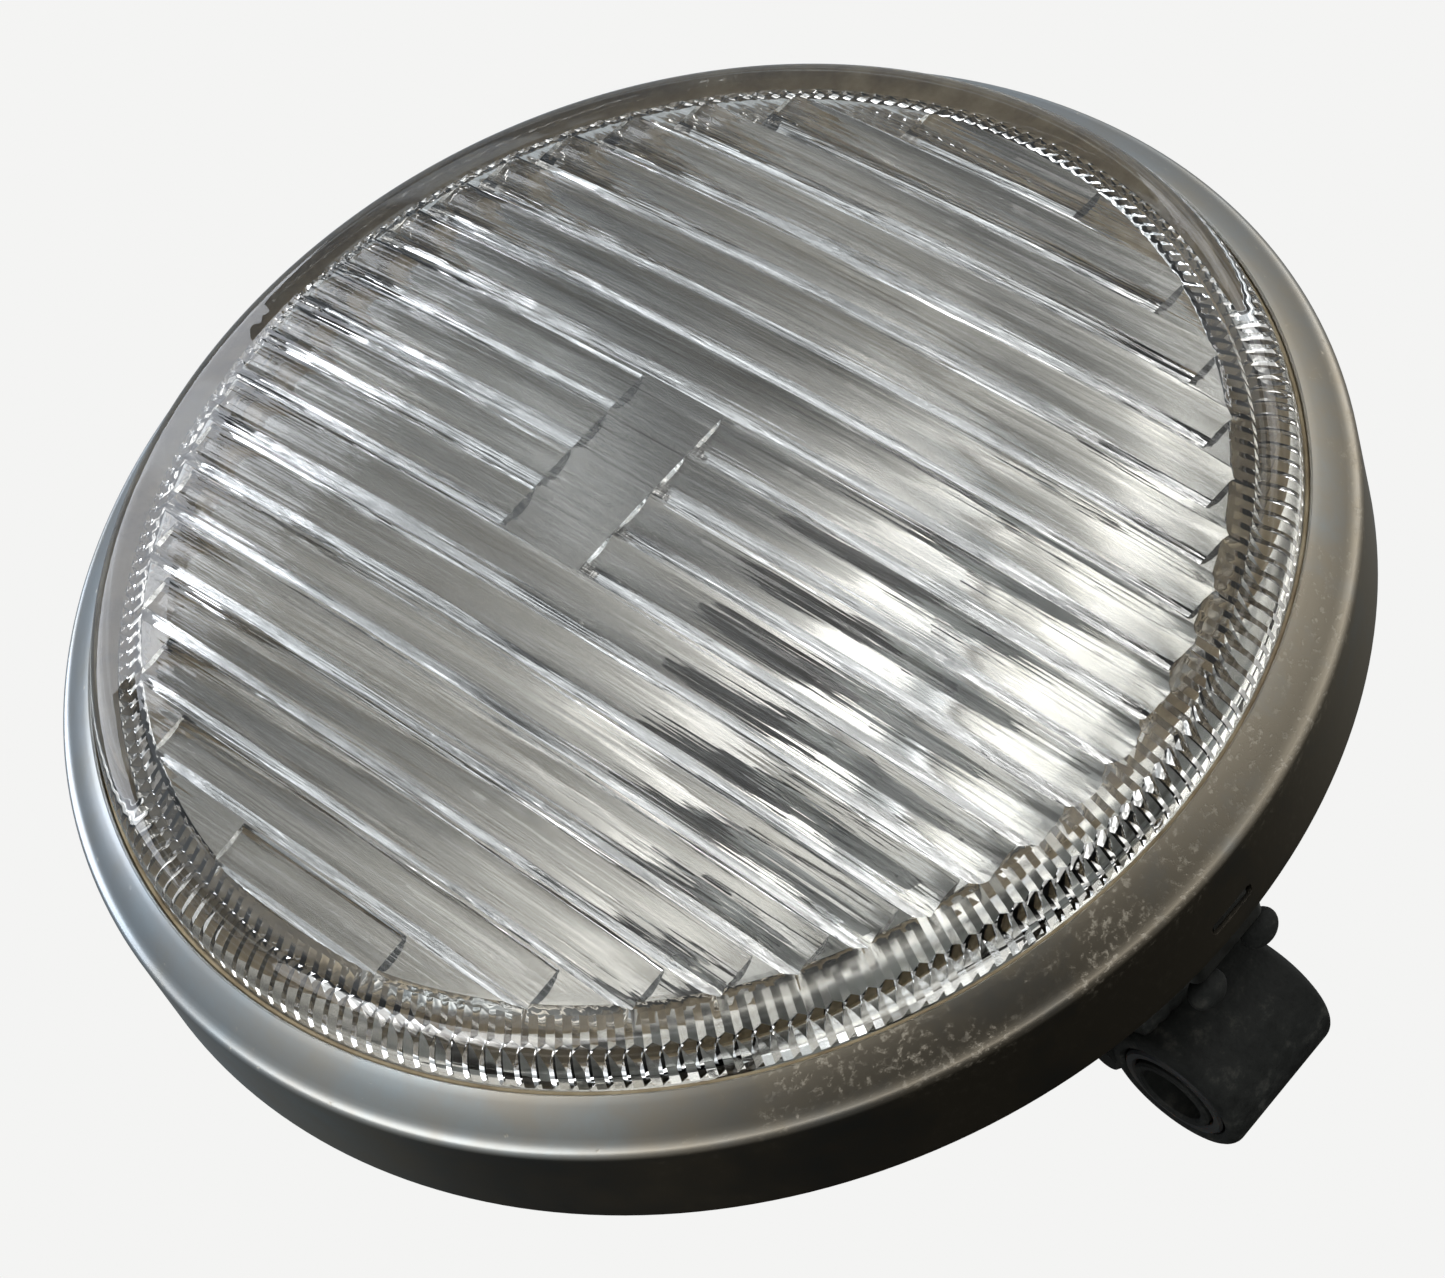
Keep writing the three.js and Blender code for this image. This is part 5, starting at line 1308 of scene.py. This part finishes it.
# %% Dull black iron: scale under thin paint
iron, tree, shader = finish_named("painted_black_iron", Specular_IOR_Level=0.35)
place = add(tree, "TexCoord").outputs["Object"]
scale_marks = add(tree, "TexNoise", {"Vector": place, "Scale": per_metre(3), "Detail": 8.0, "Roughness": 0.7})
tone = add(tree, "ValToRGB", {"Fac": scale_marks.outputs["Fac"]}, stops=(
    (0.3, "#151614"), (0.78, "#4A4740"), (0.55, "#232421"),
))
tree.links.new(tone.outputs["Color"], shader.inputs["Base Color"])
matt = add(tree, "MapRange", {"Value": scale_marks.outputs["Fac"], "To Min": 0.45, "To Max": 0.9})
tree.links.new(matt.outputs["Result"], shader.inputs["Roughness"])
pocks = add(tree, "TexNoise", {"Vector": place, "Scale": per_metre(0.9), "Detail": 4.0, "Roughness": 0.6})
skin = add(tree, "Bump", {"Height": pocks.outputs["Fac"], "Strength": 0.55, "Distance": 0.00025})
tree.links.new(skin.outputs[0], shader.inputs["Normal"])

nylon, tree, shader = finish_named("greased_nylon", Subsurface_Weight=0.1)
place = add(tree, "TexCoord").outputs["Object"]
grease = add(tree, "TexNoise", {"Vector": place, "Scale": per_metre(2.5), "Detail": 4.0})
tone = add(tree, "ValToRGB", {"Fac": grease.outputs["Fac"]}, stops=((0.35, "#26262A"), (0.75, "#3A3833")))
tree.links.new(tone.outputs["Color"], shader.inputs["Base Color"])
wet = add(tree, "MapRange", {"Value": grease.outputs["Fac"], "To Min": 0.35, "To Max": 0.65})
tree.links.new(wet.outputs["Result"], shader.inputs["Roughness"])

# %% Barrel, bushes and sleeve
BARREL_RADIUS = 9.5
BARREL_HALF = 9.5
BARREL_BORE = 7.4
BARREL_ROUND = 1.4
barrel_outline = [
    (BARREL_BORE + 0.4, -BARREL_HALF),
    *arc((BARREL_RADIUS - BARREL_ROUND, -BARREL_HALF + BARREL_ROUND), BARREL_ROUND, -90, 0, 6),
    *[(BARREL_RADIUS, -BARREL_HALF + BARREL_ROUND + 2.7 * i) for i in range(1, 6)],
    *arc((BARREL_RADIUS - BARREL_ROUND, BARREL_HALF - BARREL_ROUND), BARREL_ROUND, 0, 90, 6),
    (BARREL_BORE + 0.4, BARREL_HALF),
    (BARREL_BORE, BARREL_HALF - 0.4),
    (BARREL_BORE, -BARREL_HALF + 0.4),
]
barrel = turned([(radius, along) for radius, along in barrel_outline], 96, pivot, across=True)
piece(barrel, "pivot_barrel", iron, "housing", "black_iron", "mounting_barrel")

BUSH_INSIDE = 5.7
BUSH_OUTSIDE = 7.1
BUSH_ROUND = 0.3
for side, node in ((-1, "barrel_bush_left"), (1, "barrel_bush_right")):
    near, far = side * 0.3, side * BARREL_HALF
    bush = turned([
        (BUSH_INSIDE, near),
        (BUSH_OUTSIDE - BUSH_ROUND, near),
        (BUSH_OUTSIDE, near + side * BUSH_ROUND),
        (BUSH_OUTSIDE, far - side * BUSH_ROUND),
        (BUSH_OUTSIDE - BUSH_ROUND, far),
        (BUSH_INSIDE + BUSH_ROUND, far),
        (BUSH_INSIDE, far - side * BUSH_ROUND),
    ], 64, pivot, across=True)
    piece(bush, node.replace("barrel", "nylon"), nylon, "housing", "nylon", node)

SLEEVE_HALF = (sleeve_high.x - sleeve_low.x) / 2 / MM
SLEEVE_INSIDE = 4.2
SLEEVE_OUTSIDE = 5.4
sleeve = turned([
    (SLEEVE_INSIDE + 0.3, -SLEEVE_HALF),
    (SLEEVE_OUTSIDE - 0.3, -SLEEVE_HALF),
    (SLEEVE_OUTSIDE, -SLEEVE_HALF + 0.3),
    (SLEEVE_OUTSIDE, SLEEVE_HALF - 0.3),
    (SLEEVE_OUTSIDE - 0.3, SLEEVE_HALF),
    (SLEEVE_INSIDE + 0.3, SLEEVE_HALF),
    (SLEEVE_INSIDE, SLEEVE_HALF - 0.3),
    (SLEEVE_INSIDE, -SLEEVE_HALF + 0.3),
], 64, pivot, across=True)
piece(sleeve, "bearing_sleeve", iron, "pivot", "black_iron", "pivot_sleeve")

# %% Weld beads: a row of overlapping ripples laid in the crevice
RIPPLE = 0.22
RIPPLES = 8
for node, name in (("barrel_weld_front", "weld_front"), ("barrel_weld_rear", "weld_rear")):
    bead_low, bead_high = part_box(node)
    bead_low = LAMP.inverted() @ bead_low
    bead_high = LAMP.inverted() @ bead_high
    half = (bead_high.x - bead_low.x) / 2
    middle = (bead_low + bead_high) / 2
    reach = min(bead_high.y - bead_low.y, bead_high.z - bead_low.z) / 2
    outline = [(0, -half)]
    for i in range(RIPPLES * 4 + 1):
        share_along = i / (RIPPLES * 4)
        swell = math.sin(math.pi * (0.12 + 0.76 * share_along)) ** 0.35
        ripple_in = RIPPLE * abs(math.sin(math.pi * share_along * RIPPLES))
        outline.append((reach * swell - RIPPLE + ripple_in, -half + 2 * half * share_along))
    outline.append((0, half))
    bead = turned(outline, 40, middle, across=True)
    piece(bead, name, iron, "housing", "black_iron", node, sharp=50)

# %% [markdown]
# ## Hook and trough
#
# At the top the rim hangs on the bowl: a tongue inside the skirt ends in a curled roll, and the roll lies
# in an open trough on the bowl. With the latch released, the rim swings up about that roll and lifts off.

# %% Rim hook: strip with its end curled
HOOK_HALF = 7.0
HOOK_WALL = 0.8
HOOK_ROLL = 1.3
hook_low, hook_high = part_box("rim_hook")
hook_low = LAMP.inverted() @ hook_low
hook_high = LAMP.inverted() @ hook_high
roll_back = hook_high.y - HOOK_ROLL
roll_up = 77.6
strip_top = min(hook_high.z, roll_up + HOOK_ROLL)
curl_out = arc((roll_back, roll_up), HOOK_ROLL, 100, -180, 20)
curl_in = arc((roll_back, roll_up), HOOK_ROLL - 0.75, -170, 90, 16)
hook = drawn([
    (hook_low.y, strip_top - HOOK_WALL),
    (hook_low.y, strip_top),
    *[(b, min(u, strip_top)) for b, u in curl_out],
    *curl_in,
    (roll_back - 1.0, strip_top - HOOK_WALL),
], -HOOK_HALF, HOOK_HALF)
piece(hook, "curled_hook", zinc, "lens_unit", "plated_steel", "rim_hook")

# %% Trough on the bowl
TROUGH_HALF = 9.0
CHEEK = 1.7
GROOVE = 1.6
TROUGH_WALL = 1.1
groove_wall = GROOVE + TROUGH_WALL
trough_top = roll_up - 0.4
bottom = roll_up - groove_wall
outer_rear = roll_back + groove_wall
channel = drawn([
    (roll_back - groove_wall + 0.3, trough_top),
    (roll_back - groove_wall + 0.3, roll_up - 1.2),
    *arc((roll_back, roll_up), groove_wall - 0.2, 205, 270, 6),
    (outer_rear - 1.0, bottom - 1.6),
    (outer_rear + 3.3, bottom - 2.0),
    (outer_rear + 3.5, bottom + 0.2),
    (outer_rear + 0.8, bottom + 0.6),
    *arc((outer_rear - 0.5 + 1.2, bottom + 1.8), 1.2, 270, 180, 4),
    (outer_rear, trough_top),
    *arc((roll_back, roll_up), GROOVE, -14, -166, 14),
], -TROUGH_HALF + CHEEK, TROUGH_HALF - CHEEK)
cheeks = [
    box(
        (side * TROUGH_HALF, roll_back - groove_wall + 0.3, bottom),
        (side * (TROUGH_HALF - CHEEK - 0.02), outer_rear, trough_top),
    )
    for side in (-1, 1)
]
trough = joined(channel, *[rounded(clean(cheek), 0.25) for cheek in cheeks])
piece(trough, "hook_trough", enamel, "housing", "black_enamel", "hinge_trough")

# %% [markdown]
# ## Latch and staple
#
# At the foot a sprung leaf slides in a staple under the bowl, and its nose stands behind the slot of the
# rim. Its rear end is pinched into two round lobes for the fingers.

# %% Latch
latch_low, latch_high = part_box("rim_latch")
latch_low = LAMP.inverted() @ latch_low
latch_high = LAMP.inverted() @ latch_high
LEAF_HALF = 5.0
LEAF_WALL = 0.8
NOSE_HALF = 3.0
LOBE = 2.6
leaf_top = -(SHOULDER + 0.3 + 1.0)
leaf = box((-LEAF_HALF, latch_low.y, leaf_top - LEAF_WALL), (LEAF_HALF, latch_high.y - LOBE, leaf_top))
nose = box((-NOSE_HALF, latch_low.y, latch_low.z), (NOSE_HALF, SLOT_BACK + 0.9, leaf_top - LEAF_WALL / 2))
leaf = rounded(combined(clean(leaf), clean(nose), "UNION"), 0.2, 2)
lobes = bmesh.new()
for side in (-1, 1):
    lobe_place = Matrix.Translation((side * 4.8, latch_high.y - LOBE * 0.9, leaf_top - LOBE * 0.6))
    swell = Matrix.Diagonal((1, 0.9, 0.75, 1))
    bmesh.ops.create_uvsphere(lobes, u_segments=32, v_segments=18, radius=LOBE, matrix=lobe_place @ swell)
latch = combined(leaf, lobes, "UNION")
piece(latch, "finger_latch", iron, "latch", "black_iron", "rim_latch")

# %% Staple
staple_low, staple_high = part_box("latch_staple")
staple_low = LAMP.inverted() @ staple_low
staple_high = LAMP.inverted() @ staple_high
STAPLE_WALL = 0.9
STAPLE_ROUND = 1.3
staple_half = staple_high.x
inner_half = staple_half - STAPLE_WALL
top = staple_high.z
low = staple_low.z
staple = drawn([
    (-staple_half, top),
    *arc((-staple_half + STAPLE_ROUND, low + STAPLE_ROUND), STAPLE_ROUND, 180, 270, 6),
    *arc((staple_half - STAPLE_ROUND, low + STAPLE_ROUND), STAPLE_ROUND, 270, 360, 6),
    (staple_half, top),
    (inner_half, top),
    *arc((inner_half - 0.4, low + STAPLE_WALL + 0.4), 0.4, 0, -90, 3),
    *arc((-inner_half + 0.4, low + STAPLE_WALL + 0.4), 0.4, 270, 180, 3),
    (-inner_half, top),
], staple_low.y, staple_high.y, along="back")
piece(rounded(staple, 0.15, 1, 60), "latch_strap", zinc, "housing", "plated_steel", "latch_staple")
